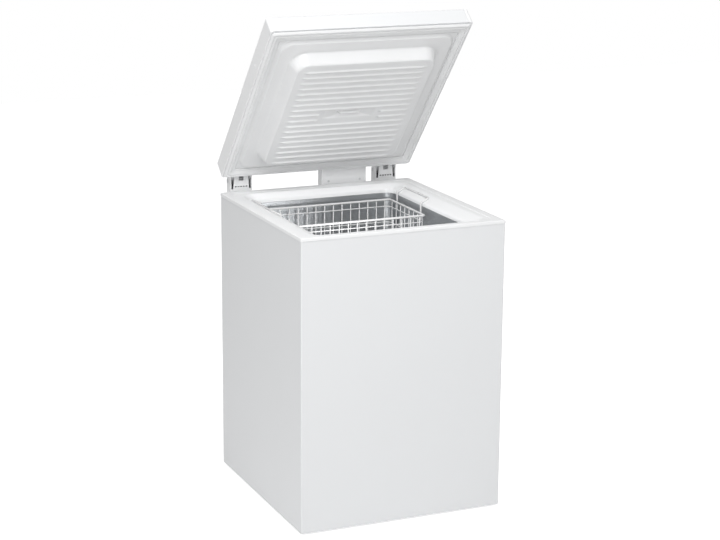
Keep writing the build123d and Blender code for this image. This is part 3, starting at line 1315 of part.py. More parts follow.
save("control_box", control_box())
save("control_panel", control_panel())
save("thermostat", thermostat())
save("thermostat_spindle", thermostat_spindle())
save("thermostat_knob", thermostat_knob())
save("indicator_lamps", *[indicator_lamp(x) for x in lamp_places()])
SMALL_SCREW = (SMALL_SCREW_HEAD, SMALL_SCREW_HEIGHT, SMALL_SCREW_SHANK, BOX_BOSS_LENGTH)
FRONT_SCREWS = [screw((x, BOX_FRONT, z), (0, -1, 0), *SMALL_SCREW) for x, z in box_screws()]
save("control_box_screws", *FRONT_SCREWS, *back_screws(EAR_SCREWS, BOX_FRONT + BOX_WALL))

for hand, hinge_x in HINGE_XS.items():
    save(f"hinge_body_{hand}", hinge_body(hinge_x))
    save(f"hinge_spring_{hand}", hinge_spring(hinge_x))
    save(f"hinge_slider_{hand}", hinge_slider(hinge_x))
    save(f"hinge_bracket_{hand}", opened(hinge_bracket(hinge_x)))
save("hinge_pins", *[hinge_pin(x) for x in HINGE_XS.values()])
save("hinge_body_screws", *back_screws(WING_SCREWS, SHELL_BACK + WING_SHEET))
LID_SCREWS = [bracket_screw(sx, sz) for x in HINGE_XS.values() for sx, sz in bracket_screws(x)]
save("hinge_bracket_screws", *[opened(one) for one in LID_SCREWS])

save("lid_skin", opened(lid_skin()))
save("lid_trim_left", opened(lid_trim(-1)))
save("lid_trim_right", opened(lid_trim(1)))
save("lid_side_plugs", *[opened(side_plug(side)) for side in (-1, 1)])
save("lid_liner", opened(lid_liner()))
save("lid_insulation", opened(lid_insulation()))
save("lid_gasket", opened(lid_gasket()))

basket_walls()
save("basket_rim", basket_rim())
save("basket_hangers", *[basket_hanger(side) for side in (-1, 1)])
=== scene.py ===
# %% [markdown]
# A chest freezer with its lid held open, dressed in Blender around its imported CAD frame.
# The frame gives every solid in metres, in one set of axes: X to the right, Y to the back, Z up.
# The rigid pieces keep their CAD shape and get a finish. The pieces with soft, formed or wound shapes,
# which are the collar, the lid's formed liner, its seal and the wire basket, are worked out again here as
# surfaces, and stand for the plain CAD solids.

# %% Load the frame
import json
import math

import bpy
import numpy as np
from mathutils import Matrix, Vector


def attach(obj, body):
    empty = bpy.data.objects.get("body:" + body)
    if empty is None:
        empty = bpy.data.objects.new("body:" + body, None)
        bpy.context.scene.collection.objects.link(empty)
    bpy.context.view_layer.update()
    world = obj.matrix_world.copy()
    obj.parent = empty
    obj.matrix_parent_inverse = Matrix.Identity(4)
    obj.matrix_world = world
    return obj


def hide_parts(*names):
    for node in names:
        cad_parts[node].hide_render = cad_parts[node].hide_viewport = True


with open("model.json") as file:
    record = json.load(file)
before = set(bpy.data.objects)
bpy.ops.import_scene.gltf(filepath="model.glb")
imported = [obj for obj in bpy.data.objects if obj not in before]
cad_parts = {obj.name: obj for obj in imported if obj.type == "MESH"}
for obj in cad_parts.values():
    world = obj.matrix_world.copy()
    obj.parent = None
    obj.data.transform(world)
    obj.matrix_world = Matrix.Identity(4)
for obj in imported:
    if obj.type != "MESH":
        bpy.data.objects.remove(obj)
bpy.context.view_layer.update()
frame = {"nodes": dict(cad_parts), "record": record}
nodes = frame["nodes"]

# %% [markdown]
# The camera comes first. It was solved from the corners of the cabinet and of the lid: a long lens, a little
# to the left of the front and a little above the rim. The solved middle of the picture lies beside the
# middle of the frame, so the lens is shifted by that much.

# %% Camera
PICTURE = (720, 540)
PICTURE_MIDDLE = (340.6, 247.5)
FOCAL_PIXELS = 1915.95
SENSOR = 36.0
VIEW_LIMIT = 50.0
CAMERA_PLACE = (-2.08595, -4.78126, 1.94339)
AZIMUTH, ELEVATION, ROLL = (math.radians(a) for a in (-23.12, 13.48, 0.29))


def camera_axes():
    """Right, up and back of the camera, from its two angles, then rolled about the view line."""
    level = math.cos(ELEVATION)
    back = np.array((math.sin(AZIMUTH) * level, -math.cos(AZIMUTH) * level, math.sin(ELEVATION)))
    right = np.cross((0.0, 0.0, 1.0), back)
    right /= np.linalg.norm(right)
    up = np.cross(back, right)
    cos, sin = math.cos(ROLL), math.sin(ROLL)
    return np.array((cos * right + sin * up, cos * up - sin * right, back))


camera_data = bpy.data.cameras.new("camera")
camera_data.sensor_width = SENSOR
camera_data.lens = FOCAL_PIXELS * SENSOR / PICTURE[0]
camera_data.shift_x = (PICTURE[0] / 2 - PICTURE_MIDDLE[0]) / PICTURE[0]
camera_data.shift_y = (PICTURE_MIDDLE[1] - PICTURE[1] / 2) / PICTURE[0]
camera_data.clip_end = VIEW_LIMIT
camera = bpy.data.objects.new("camera", camera_data)
camera.matrix_world = Matrix.Translation(CAMERA_PLACE) @ Matrix(camera_axes().T.tolist()).to_4x4()
bpy.context.scene.collection.objects.link(camera)
bpy.context.scene.camera = camera
print("camera: lens", round(camera_data.lens, 1), "mm")

# %% [markdown]
# The picture has a pure white surround. The world is white to the camera alone, and dimmer for the light
# that it sheds and in reflections, so the white never lights the object. The floor is pale, glows a little
# for the camera, and still takes the shadow.

# %% World and floor
SKY_LIGHT = 0.44
FLOOR_SIZE = 14.0
FLOOR_GLOW = 0.75
FLOOR_TONE = 0.86
FLOOR_ROUGHNESS = 0.9


def seen_directly(tree):
    """A mask that is 1 for what the camera sees, and 0 for light that is shed or reflected."""
    return tree.nodes.new("ShaderNodeLightPath").outputs["Is Camera Ray"]


world = bpy.data.worlds.new("studio")
world.use_nodes = True
bpy.context.scene.world = world
sky = world.node_tree
strength = sky.nodes.new("ShaderNodeMapRange")
strength.inputs["To Min"].default_value = SKY_LIGHT
strength.inputs["To Max"].default_value = 1.0
sky.links.new(seen_directly(sky), strength.inputs["Value"])
sky.nodes["Background"].inputs["Color"].default_value = (1.0, 1.0, 1.0, 1.0)
sky.links.new(strength.outputs["Result"], sky.nodes["Background"].inputs["Strength"])

floor_mesh = bpy.data.meshes.new("floor")
half = FLOOR_SIZE / 2
corners = [(-half, -half, 0), (half, -half, 0), (half, half, 0), (-half, half, 0)]
floor_mesh.from_pydata(corners, [], [(0, 1, 2, 3)])
floor = bpy.data.objects.new("floor", floor_mesh)
bpy.context.scene.collection.objects.link(floor)
paper = bpy.data.materials.new("pale_floor")
paper.use_nodes = True
tree = paper.node_tree
shader = tree.nodes["Principled BSDF"]
shader.inputs["Base Color"].default_value = (FLOOR_TONE, FLOOR_TONE, FLOOR_TONE, 1.0)
shader.inputs["Roughness"].default_value = FLOOR_ROUGHNESS
shader.inputs["Emission Color"].default_value = (1.0, 1.0, 1.0, 1.0)
glow = tree.nodes.new("ShaderNodeMath")
glow.operation = "MULTIPLY"
glow.inputs[1].default_value = FLOOR_GLOW
tree.links.new(seen_directly(tree), glow.inputs[0])
tree.links.new(glow.outputs[0], shader.inputs["Emission Strength"])
floor_mesh.materials.append(paper)
print("floor:", FLOOR_SIZE, "m square")

# %% [markdown]
# Four soft lamps. The largest hangs high in front and a little to the left. It makes the slope at the front
# of the lid's plateau the brightest, and the front face brighter at its top than at its foot. One overhead
# lifts the rim, and one at the left lifts the cabinet's side and the lid's slopes that face it. A faint one
# inside the well lifts the underside of the lid, which faces the floor. The lid shuts it in when it closes.

# %% Lamps
LAMPS = {
    # place, target and size in metres, power in watts
    "overhead": ((0.0, -0.6, 4.5), (0.0, 0.0, 0.8), 3.0, 14.0),
    "front_high": ((-0.9, -2.6, 3.4), (0.0, 0.0, 0.8), 2.0, 96.0),
    "left": ((-3.0, -0.3, 1.6), (0.0, 0.0, 0.9), 1.6, 13.0),
    "well": ((-0.06, -0.2, 0.69), (-0.02, 0.25, 1.02), 0.2, 0.72),
}

for name, (place, target, size, power) in LAMPS.items():
    lamp = bpy.data.lights.new(name, "AREA")
    lamp.size = size
    lamp.energy = power
    holder = bpy.data.objects.new(name, lamp)
    holder.visible_camera = False
    aim = Vector(target) - Vector(place)
    holder.matrix_world = Matrix.Translation(place) @ aim.to_track_quat("-Z", "Y").to_matrix().to_4x4()
    bpy.context.scene.collection.objects.link(holder)
bpy.context.scene.view_settings.view_transform = "Standard"
print("lamps:", ", ".join(LAMPS))

# %% [markdown]
# Two effects are shared by most finishes, so each is a node group that is built once. Mottle is a slow,
# faint change of tone, as in any sprayed, cast or rolled surface. Grain is the fine relief that breaks up
# a highlight: the orange peel of enamel, or the spark-eroded texture of a mould.

# %% Shared effects
MOTTLE_DETAIL, MOTTLE_LOW, MOTTLE_HIGH = 4.0, 0.22, 0.78
GRAIN_DETAIL = 2.0


def start_group(name, inputs, outputs):
    """An empty group with named number inputs and named outputs."""
    group = bpy.data.node_groups.new(name, "ShaderNodeTree")
    for label, value in inputs.items():
        socket = group.interface.new_socket(label, in_out="INPUT", socket_type="NodeSocketFloat")
        socket.default_value = value
    for label, kind in outputs.items():
        group.interface.new_socket(label, in_out="OUTPUT", socket_type=kind)
    return group, group.nodes.new("NodeGroupInput"), group.nodes.new("NodeGroupOutput")


def mottle_group():
    """Noise on the object's own coordinates, stretched so that its middle range fills 0 to 1."""
    group, given, result = start_group("mottle", {"Scale": 8.0}, {"Tone": "NodeSocketFloat"})
    place = group.nodes.new("ShaderNodeTexCoord")
    noise = group.nodes.new("ShaderNodeTexNoise")
    noise.inputs["Detail"].default_value = MOTTLE_DETAIL
    spread = group.nodes.new("ShaderNodeMapRange")
    spread.interpolation_type = "SMOOTHSTEP"
    spread.inputs["From Min"].default_value = MOTTLE_LOW
    spread.inputs["From Max"].default_value = MOTTLE_HIGH
    group.links.new(place.outputs["Object"], noise.inputs["Vector"])
    group.links.new(given.outputs["Scale"], noise.inputs["Scale"])
    group.links.new(noise.outputs["Fac"], spread.inputs["Value"])
    group.links.new(spread.outputs["Result"], result.inputs["Tone"])
    return group


def grain_group():
    """Fine noise turned into a normal by a bump of the given depth."""
    outputs = {"Normal": "NodeSocketVector"}
    group, given, result = start_group("grain", {"Scale": 900.0, "Strength": 0.2, "Depth": 0.0001}, outputs)
    place = group.nodes.new("ShaderNodeTexCoord")
    noise = group.nodes.new("ShaderNodeTexNoise")
    noise.inputs["Detail"].default_value = GRAIN_DETAIL
    bump = group.nodes.new("ShaderNodeBump")
    group.links.new(place.outputs["Object"], noise.inputs["Vector"])
    group.links.new(given.outputs["Scale"], noise.inputs["Scale"])
    group.links.new(noise.outputs["Fac"], bump.inputs["Height"])
    group.links.new(given.outputs["Strength"], bump.inputs["Strength"])
    group.links.new(given.outputs["Depth"], bump.inputs["Distance"])
    group.links.new(bump.outputs["Normal"], result.inputs["Normal"])
    return group


MOTTLE, GRAIN = mottle_group(), grain_group()
print("shared effects:", MOTTLE.name, GRAIN.name)

# %% [markdown]
# Each finish is one Principled shader. Mottle moves its colour and its roughness a little, and grain gives
# its normal. What is the same all over, such as how metallic it is, is set on the shader itself.

# %% One finish
COAT_ROUGHNESS = 0.12


def blend_colours(tree, factor, low, high):
    """A colour between low and high, by a factor that changes over the surface."""
    mix = tree.nodes.new("ShaderNodeMix")
    mix.data_type = "RGBA"
    mix.inputs[6].default_value = (*low, 1.0)
    mix.inputs[7].default_value = (*high, 1.0)
    tree.links.new(factor, mix.inputs[0])
    return mix.outputs[2]


def place_group(tree, group, **values):
    """A shared effect placed in a material, with values of its own."""
    node = tree.nodes.new("ShaderNodeGroup")
    node.node_tree = group
    for label, value in values.items():
        node.inputs[label].default_value = value
    return node


def finish(name, tint, rough, metal=0.0, coat=0.0, patch=6.0, shade=0.02, play=0.04, grain=900.0,
           relief=0.15, depth=0.0001):
    """tint and rough are the middle, shade and play how far they move, patch and grain counts per metre."""
    material = bpy.data.materials.new(name)
    material.use_nodes = True
    tree = material.node_tree
    shader = tree.nodes["Principled BSDF"]
    shader.inputs["Metallic"].default_value = metal
    shader.inputs["Coat Weight"].default_value = coat
    shader.inputs["Coat Roughness"].default_value = COAT_ROUGHNESS
    tone = place_group(tree, MOTTLE, Scale=patch).outputs["Tone"]
    low, high = ([min(1.0, part * (1 + way * shade)) for part in tint] for way in (-1, 1))
    tree.links.new(blend_colours(tree, tone, low, high), shader.inputs["Base Color"])
    gloss = tree.nodes.new("ShaderNodeMapRange")
    gloss.inputs["To Min"].default_value = rough - play
    gloss.inputs["To Max"].default_value = rough + play
    tree.links.new(tone, gloss.inputs["Value"])
    tree.links.new(gloss.outputs["Result"], shader.inputs["Roughness"])
    normal = place_group(tree, GRAIN, Scale=grain, Strength=relief, Depth=depth).outputs["Normal"]
    tree.links.new(normal, shader.inputs["Normal"])
    return material


FINISHES = {
    "white_paint": finish("stove_enamel", (0.775, 0.785, 0.795), 0.30, coat=0.25, patch=2.0, shade=0.003,
                          play=0.02, grain=420.0, relief=0.10, depth=0.0002),
    "white_plastic": finish("moulded_white", (0.865, 0.87, 0.875), 0.38, patch=5.0, shade=0.008,
                            grain=1800.0, relief=0.12),
    "lid_liner_plastic": finish("formed_white_sheet", (0.765, 0.77, 0.775), 0.34, patch=9.0, shade=0.012,
                                grain=240.0, relief=0.12, depth=0.0003),
    "gasket_vinyl": finish("seal_vinyl", (0.79, 0.795, 0.80), 0.50, patch=14.0, shade=0.02,
                           grain=1500.0, relief=0.15),
    "grey_plastic": finish("housing_grey", (0.86, 0.865, 0.87), 0.46, patch=12.0, shade=0.02,
                           grain=1600.0, relief=0.22),
    "galvanised_sheet": finish("galvanised_sheet", (0.62, 0.64, 0.66), 0.40, metal=1.0, patch=5.0,
                               shade=0.05, play=0.06, grain=300.0, relief=0.08),
    "plated_steel": finish("zinc_plate", (0.70, 0.71, 0.72), 0.40, metal=0.6, patch=40.0, shade=0.06,
                           grain=2400.0, relief=0.12),
    "liner_aluminium": finish("stucco_aluminium", (0.46, 0.475, 0.49), 0.38, metal=1.0, patch=4.0,
                              shade=0.04, grain=300.0, relief=0.1),
    "foam": finish("rigid_foam", (0.80, 0.71, 0.45), 0.90, patch=20.0, shade=0.08, grain=1200.0, relief=0.5,
                   depth=0.0006),
    "steel_tube": finish("drawn_steel", (0.36, 0.36, 0.38), 0.42, metal=1.0, patch=30.0, shade=0.08,
                         grain=1500.0),
    "aluminium_tube": finish("drawn_aluminium", (0.66, 0.67, 0.69), 0.38, metal=1.0, patch=30.0, shade=0.05,
                             grain=1500.0),
    "copper_tube": finish("drawn_copper", (0.62, 0.32, 0.20), 0.34, metal=1.0, patch=25.0, shade=0.16,
                          play=0.08, grain=1500.0),
    "black_paint": finish("black_enamel", (0.018, 0.018, 0.020), 0.34, coat=0.2, patch=10.0, shade=0.2,
                          grain=420.0, relief=0.12, depth=0.0002),
    # The hinge sliders take this black moulding too: behind the slots in the hinge plates, their black is
    # painted shade that makes the slots look dark.
    "black_plastic": finish("black_moulding", (0.028, 0.028, 0.030), 0.50, patch=15.0, shade=0.15,
                            grain=1600.0, relief=0.25),
    "black_rubber": finish("black_rubber", (0.02, 0.02, 0.02), 0.72, patch=25.0, shade=0.25, grain=1400.0,
                           relief=0.3),
    "knob_plastic": finish("knob_plastic", (0.13, 0.135, 0.145), 0.40, patch=30.0, shade=0.08, grain=2000.0,
                           relief=0.2),
    "lamp_lens": finish("lamp_lens", (0.05, 0.36, 0.09), 0.16, coat=0.6, patch=120.0, shade=0.15,
                        grain=900.0, relief=0.03),
    "nylon": finish("natural_nylon", (0.74, 0.72, 0.65), 0.44, patch=20.0, shade=0.03, grain=1500.0),
    "white_wire": finish("coated_wire", (0.70, 0.70, 0.70), 0.30, coat=0.3, patch=15.0, shade=0.015,
                         grain=600.0, relief=0.12, depth=0.0002),
}
print("finishes:", len(FINISHES))

# %% [markdown]
# Three finishes have a pattern of their own. Galvanised sheet is covered in zinc crystals, one or two
# centimetres across, each catching the light in its own way. The aluminium of the well is rolled with a
# stucco relief, which hides dents. Cut foam shows its pores.

# %% Patterns of their own
# cells per metre, then depth in metres and strength of the relief
SPANGLE = 70.0
SPANGLE_DARK, SPANGLE_PALE = (0.54, 0.56, 0.58), (0.70, 0.72, 0.74)
SPANGLE_SMOOTH, SPANGLE_ROUGH = 0.30, 0.50
STUCCO, STUCCO_DEPTH, STUCCO_STRENGTH = 260.0, 0.0009, 0.6
PORES, PORE_DEPTH, PORE_STRENGTH = 700.0, 0.0008, 0.7


def cells(tree, scale, feature="F1"):
    """A pattern of cells on the object's own coordinates: each point belongs to its nearest seed."""
    place = tree.nodes.new("ShaderNodeTexCoord")
    pattern = tree.nodes.new("ShaderNodeTexVoronoi")
    pattern.feature = feature
    pattern.inputs["Scale"].default_value = scale
    tree.links.new(place.outputs["Object"], pattern.inputs["Vector"])
    return pattern


def add_spangle(material):
    """Each crystal takes one random tone, which sets its colour and its roughness."""
    tree = material.node_tree
    shader = tree.nodes["Principled BSDF"]
    split = tree.nodes.new("ShaderNodeSeparateColor")
    tree.links.new(cells(tree, SPANGLE).outputs["Color"], split.inputs["Color"])
    tone = blend_colours(tree, split.outputs["Red"], SPANGLE_DARK, SPANGLE_PALE)
    tree.links.new(tone, shader.inputs["Base Color"])
    gloss = tree.nodes.new("ShaderNodeMapRange")
    gloss.inputs["To Min"].default_value = SPANGLE_SMOOTH
    gloss.inputs["To Max"].default_value = SPANGLE_ROUGH
    tree.links.new(split.outputs["Green"], gloss.inputs["Value"])
    tree.links.new(gloss.outputs["Result"], shader.inputs["Roughness"])


def add_relief(material, pattern_output, depth, strength):
    """Lays a coarser relief over the finish: its height feeds a bump whose base is the fine grain."""
    tree = material.node_tree
    shader = tree.nodes["Principled BSDF"]
    bump = tree.nodes.new("ShaderNodeBump")
    bump.inputs["Strength"].default_value = strength
    bump.inputs["Distance"].default_value = depth
    tree.links.new(pattern_output, bump.inputs["Height"])
    tree.links.new(shader.inputs["Normal"].links[0].from_socket, bump.inputs["Normal"])
    tree.links.new(bump.outputs["Normal"], shader.inputs["Normal"])


add_spangle(FINISHES["galvanised_sheet"])
stucco = cells(FINISHES["liner_aluminium"].node_tree, STUCCO, "SMOOTH_F1")
add_relief(FINISHES["liner_aluminium"], stucco.outputs["Distance"], STUCCO_DEPTH, STUCCO_STRENGTH)
pores = cells(FINISHES["foam"].node_tree, PORES)
add_relief(FINISHES["foam"], pores.outputs["Distance"], PORE_DEPTH, PORE_STRENGTH)

slot_of = {part["node"]: part["material_slot"] for part in frame["record"]["subparts"]}
for name, obj in nodes.items():
    obj.data.materials.clear()
    obj.data.materials.append(FINISHES[slot_of[name]])
print("dressed:", len(slot_of), "CAD nodes")

# %% [markdown]
# New surfaces are grids of points. A ring-shaped piece, such as the collar, is a closed profile carried
# round a rounded rectangle: each row of the grid is one loop with its own width, ends, height and corner
# radius. So one helper makes the loops, one rounds a profile's corners, and one turns a grid into a mesh.

# %% Grid helpers
MM = 0.001
CORNER_STEPS = 12


def rounded_loops(half, front, back, radius):
    """Row by row, the points round a rectangle, with a quarter circle at each corner: the corner's centre
    plus radius times (cos, sin) of the turn."""
    half, front, back, radius = (np.asarray(part, float)[:, None] for part in (half, front, back, radius))
    turn = (np.arange(4)[:, None] * math.pi / 2 + np.linspace(0, math.pi / 2, CORNER_STEPS)).ravel()
    right = np.repeat((1, -1, -1, 1), CORNER_STEPS)
    rear = np.repeat((True, True, False, False), CORNER_STEPS)
    x = right * (half - radius) + radius * np.cos(turn)
    y = np.where(rear, back - radius, front + radius) + radius * np.sin(turn)
    return x, y


def round_profile(corners, cut_before, cut_after, steps=6):
    """Replaces each corner of a closed profile by a parabola that starts and ends part of the way along the
    two sides that meet there: (1-t)^2 A + 2t(1-t) corner + t^2 B."""
    before, after = np.roll(corners, 1, axis=0), np.roll(corners, -1, axis=0)
    first = corners + np.asarray(cut_before)[:, None] * (before - corners)
    last = corners + np.asarray(cut_after)[:, None] * (after - corners)
    t = np.linspace(0, 1, steps)[None, :, None]
    curve = (1 - t) ** 2 * first[:, None] + 2 * t * (1 - t) * corners[:, None] + t ** 2 * last[:, None]
    return curve.reshape(-1, corners.shape[1])


def grid_faces(rows, columns, wrap_rows, wrap_columns):
    """Four-sided faces between neighbouring points of a grid that may close on itself either way."""
    row = np.arange(rows if wrap_rows else rows - 1)[:, None]
    column = np.arange(columns if wrap_columns else columns - 1)[None, :]
    next_row, next_column = (row + 1) % rows, (column + 1) % columns
    corners = [row * columns + column, row * columns + next_column]
    corners += [next_row * columns + next_column, next_row * columns + column]
    return np.stack(np.broadcast_arrays(*corners), axis=-1).reshape(-1, 4)


def add_piece(name, points, faces, body, stands_for):
    """Puts points (millimetres) and faces into a mesh that rides on a body and stands for CAD nodes."""
    mesh = bpy.data.meshes.new(name)
    mesh.from_pydata((np.asarray(points).reshape(-1, 3) * MM).tolist(), [], [list(face) for face in faces])
    mesh.polygons.foreach_set("use_smooth", np.ones(len(mesh.polygons), bool))
    slot = slot_of[stands_for[0]]
    mesh.materials.append(FINISHES[slot])
    mesh.update()
    piece = bpy.data.objects.new(name, mesh)
    bpy.context.scene.collection.objects.link(piece)
    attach(piece, body)
    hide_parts(*stands_for)
    print(name, "stands for", ", ".join(stands_for), "with", len(mesh.polygons), "faces")
    return piece


# %% [markdown]
# The collar is a moulding: a skirt over the top of the shell, a flat band that the seal shuts on, a slight
# ledge, a sloping shoulder and a short upright lip above the metal well. A CAD loft gives its flats but
# hard edges. Here its section is a polygon whose corners are rounded by the right amount for a moulding.
# The shoulder is much wider at the sides than at the front, so each corner has three insets.

# %% Collar round the opening
RIM, HALF_WIDTH, FRONT, BACK = 816.6, 297.5, -332.75, 289.25
COLLAR_SECTION = np.array([
    # inset at sides, front and back, drop below the rim, corner radius
    (0.0, 0.0, 0.0, 9.0, 5.0),
    (0.0, 0.0, 0.0, 0.0, 5.0),
    (25.5, 21.6, 25.5, 0.0, 30.0),
    (26.9, 22.4, 26.9, 1.2, 30.0),
    (44.5, 24.1, 40.8, 1.2, 39.0),
    (79.5, 39.0, 52.0, 18.0, 30.0),
    (79.5, 39.0, 52.0, 28.0, 30.0),
    (76.5, 36.0, 49.0, 28.0, 33.0),
    (76.5, 36.0, 49.0, 21.0, 33.0),
    (39.0, 20.0, 37.0, 4.2, 43.0),
    (1.0, 1.0, 1.0, 4.2, 4.0),
    (1.0, 1.0, 1.0, 9.0, 4.0),
])
# the share of the side before and after each corner that its rounding takes up
COLLAR_CUT_BEFORE = (0.1, 0.25, 0.03, 0.4, 0.35, 0.14, 0.08, 0.3, 0.1, 0.05, 0.03, 0.1)
COLLAR_CUT_AFTER = (0.06, 0.09, 0.4, 0.05, 0.18, 0.45, 0.3, 0.1, 0.03, 0.03, 0.1, 0.1)


def collar_points():
    """The rounded section's rows, each carried round the opening at its own insets and height."""
    side, front, back, drop, radius = round_profile(COLLAR_SECTION, COLLAR_CUT_BEFORE, COLLAR_CUT_AFTER).T
    x, y = rounded_loops(HALF_WIDTH - side, FRONT + front, BACK - back, radius)
    z = np.broadcast_to(RIM - drop[:, None], x.shape)
    return np.stack((x, y, z), axis=-1)


points = collar_points()
faces = grid_faces(*points.shape[:2], True, True)[:, ::-1]
add_piece("collar", points, faces, "cabinet", ["top_collar"])

# %% [markdown]
# The lid's pieces are easiest to work out with the lid closed, where the underside is level, and then
# turned about the hinge line to the angle at which the lid is held open.

# %% The lid's own axes
LID_HALF, LID_REAR, LID_FRONT, LID_UNDER = 295.5, 282.55, -330.95, 824.1
HINGE_Y, HINGE_Z = 323.25, 842.1
LID_TURN = math.radians(49.2)


def opened(x, y, z):
    """Turns closed-lid points about the hinge line, so that the front edge rises."""
    dy, dz = y - HINGE_Y, z - HINGE_Z
    cos, sin = math.cos(LID_TURN), math.sin(LID_TURN)
    return np.stack((x, HINGE_Y + dy * cos + dz * sin, HINGE_Z - dy * sin + dz * cos), axis=-1)


# %% [markdown]
# The lid's liner is one sheet, formed over a mould: a flat flange, a low step with wide round corners, a
# plateau with sloping sides, and ribs across the plateau that stiffen it. In the middle the ribs stop for a
# shallow bow-tie dent with a small bar. As one sheet it is a height field: each feature is a height that
# depends on the distance from its own outline, and the heights add up.

# %% Lid liner: heights
# outlines: half width, rear end, front end, corner radius
STEP = (258.5, 42.0, 571.5, 40.0)
PLATEAU_FOOT = (216.5, 80.0, 530.0, 46.0)
PLATEAU_TOP = (202.0, 94.5, 515.5, 31.5)
MOAT = (264.0, 36.5, 577.0, 8.0)
STEP_RAMP, STEP_HEIGHT, STEP_BEND = 7.0, 8.0, 0.12
PLATEAU_HEIGHT, PLATEAU_RUN, PLATEAU_BEND = 34.0, 20.0, 0.14
RIBS, RIB_PITCH, RIB_MIDDLE = 18, 22.5, 295.3
RIB_HALF_WIDTH, RIB_HEIGHT, RIB_REACH, RIB_TAPER = 6.5, 2.9, 180.0, 12.0
RIB_GAP, RIB_STOP = 91.0, 4.0
DENT_REACH, DENT_LOW, DENT_HIGH, DENT_DEPTH = 76.0, 290.0, 324.0, 6.4
REAR_WALL, FRONT_WALL = 0.6, 0.9
BAR_HALF, BAR_MIDDLE, BAR_HALF_WIDTH, BAR_HEIGHT = 31.0, 309.0, 5.2, 8.0
BAR_END, BAR_SIDE = 4.0, 3.0
MOAT_WIDTH, MOAT_DEPTH, MOAT_STEEPNESS = 3.4, 1.7, 4
SMALL_BEND = 0.3
TINY = 1e-6


def inside_outline(x, v, outline):
    """Distance inside a rounded rectangle, from its half width, its two ends and its corner radius."""
    half, low, high, radius = outline
    qx = np.abs(x) - (half - radius)
    qv = np.abs(v - (low + high) / 2) - ((high - low) / 2 - radius)
    beyond = np.hypot(np.maximum(qx, 0), np.maximum(qv, 0))
    return radius - beyond - np.minimum(np.maximum(qx, qv), 0)


def soft_ramp(t, soft):
    """Rises from 0 to 1 as t does, with a parabola of half length soft in place of each bend."""
    def bend(s):
        return np.where(s < -soft, 0, np.where(s > soft, s, (s + soft) ** 2 / (4 * soft)))
    return bend(t) - bend(t - 1)


def rib_heights(x, v):
    """Raised cosines across v, one for each rib, fading out towards both ends."""
    number = np.clip(np.round((v - RIB_MIDDLE) / RIB_PITCH + (RIBS - 1) / 2), 0, RIBS - 1)
    across = v - RIB_MIDDLE - (number - (RIBS - 1) / 2) * RIB_PITCH
    crest = np.cos(np.clip(across / RIB_HALF_WIDTH, -1, 1) * math.pi / 2) ** 2
    ends = soft_ramp((RIB_REACH - np.abs(x)) / RIB_TAPER, SMALL_BEND)
    near_dent = (number > RIBS / 2 - 2) & (number < RIBS / 2 + 1)
    stop = soft_ramp((np.abs(x) - RIB_GAP) / RIB_STOP, SMALL_BEND)
    return RIB_HEIGHT * crest * ends * np.where(near_dent, stop, 1.0)


def dent_heights(x, v):
    """A dent that is deepest along the bar and rises to nothing at both ends, the least of a depth that
    depends on x and of two sloping walls, and the bar that stands in it."""
    depth = DENT_DEPTH * np.clip((DENT_REACH - np.abs(x)) / (DENT_REACH - BAR_HALF), 0, 1)
    walls = np.minimum(REAR_WALL * (v - DENT_LOW), FRONT_WALL * (DENT_HIGH - v))
    dent = np.clip(np.minimum(walls, depth), 0, None)
    bar = soft_ramp((BAR_HALF + BAR_END / 2 - np.abs(x)) / BAR_END, SMALL_BEND)
    bar = bar * soft_ramp((BAR_HALF_WIDTH - np.abs(v - BAR_MIDDLE)) / BAR_SIDE, SMALL_BEND)
    return BAR_HEIGHT * bar - dent


def moat_heights(x, v):
    """A narrow groove just inside the seal, where the sheet dips before it rises to the step."""
    t = inside_outline(x, v, MOAT) / MOAT_WIDTH
    outer, inner = soft_ramp(MOAT_STEEPNESS * t, SMALL_BEND), soft_ramp(MOAT_STEEPNESS * (1 - t), SMALL_BEND)
    return -MOAT_DEPTH * outer * inner


def liner_height(x, v):
    """How far the liner stands down from the lid, at x across and v forward from the lid's rear edge. On the
    plateau's sides the slope is the distance from its foot over the distance between foot and top."""
    step = STEP_HEIGHT * soft_ramp(inside_outline(x, v, STEP) / STEP_RAMP, STEP_BEND)
    foot, top = inside_outline(x, v, PLATEAU_FOOT), inside_outline(x, v, PLATEAU_TOP)
    slope = foot / np.maximum(foot - np.minimum(top, 0), TINY)
    slope = np.where(foot < 0, foot / PLATEAU_RUN, np.where(top > 0, 1 + top / PLATEAU_RUN, slope))
    plateau = PLATEAU_HEIGHT * soft_ramp(slope, PLATEAU_BEND)
    return step + plateau + rib_heights(x, v) + dent_heights(x, v) + moat_heights(x, v)


# %% Lid liner: sheet
LINER_HALF, LINER_REAR, LINER_FRONT, LINER_SHEET = 282.2, 8.3, 605.2, 2.0
# where the grid changes its spacing, and how many places lie between one change and the next
SIDE_BREAKS, SIDE_COUNTS = (LINER_HALF, 265.0, 249.0, 220.0, 196.0, RIB_REACH), (5, 22, 8, 22, 8)
REAR_BREAKS, REAR_COUNTS = (LINER_REAR, 36.0, 51.0, 78.0, 97.0), (6, 18, 8, 18)
FRONT_BREAKS, FRONT_COUNTS = (LINER_FRONT, 578.0, 562.0, 532.0, 514.0), (6, 22, 8, 18)
RIB_COLUMNS, RIB_ROWS = 104, 250


def spaced(breaks, counts):
    """Places along a line, evenly spread from each break to the next one, the last break left out."""
    stretches = zip(breaks, breaks[1:], counts)
    return np.concatenate([np.linspace(start, end, count, False) for start, end, count in stretches])


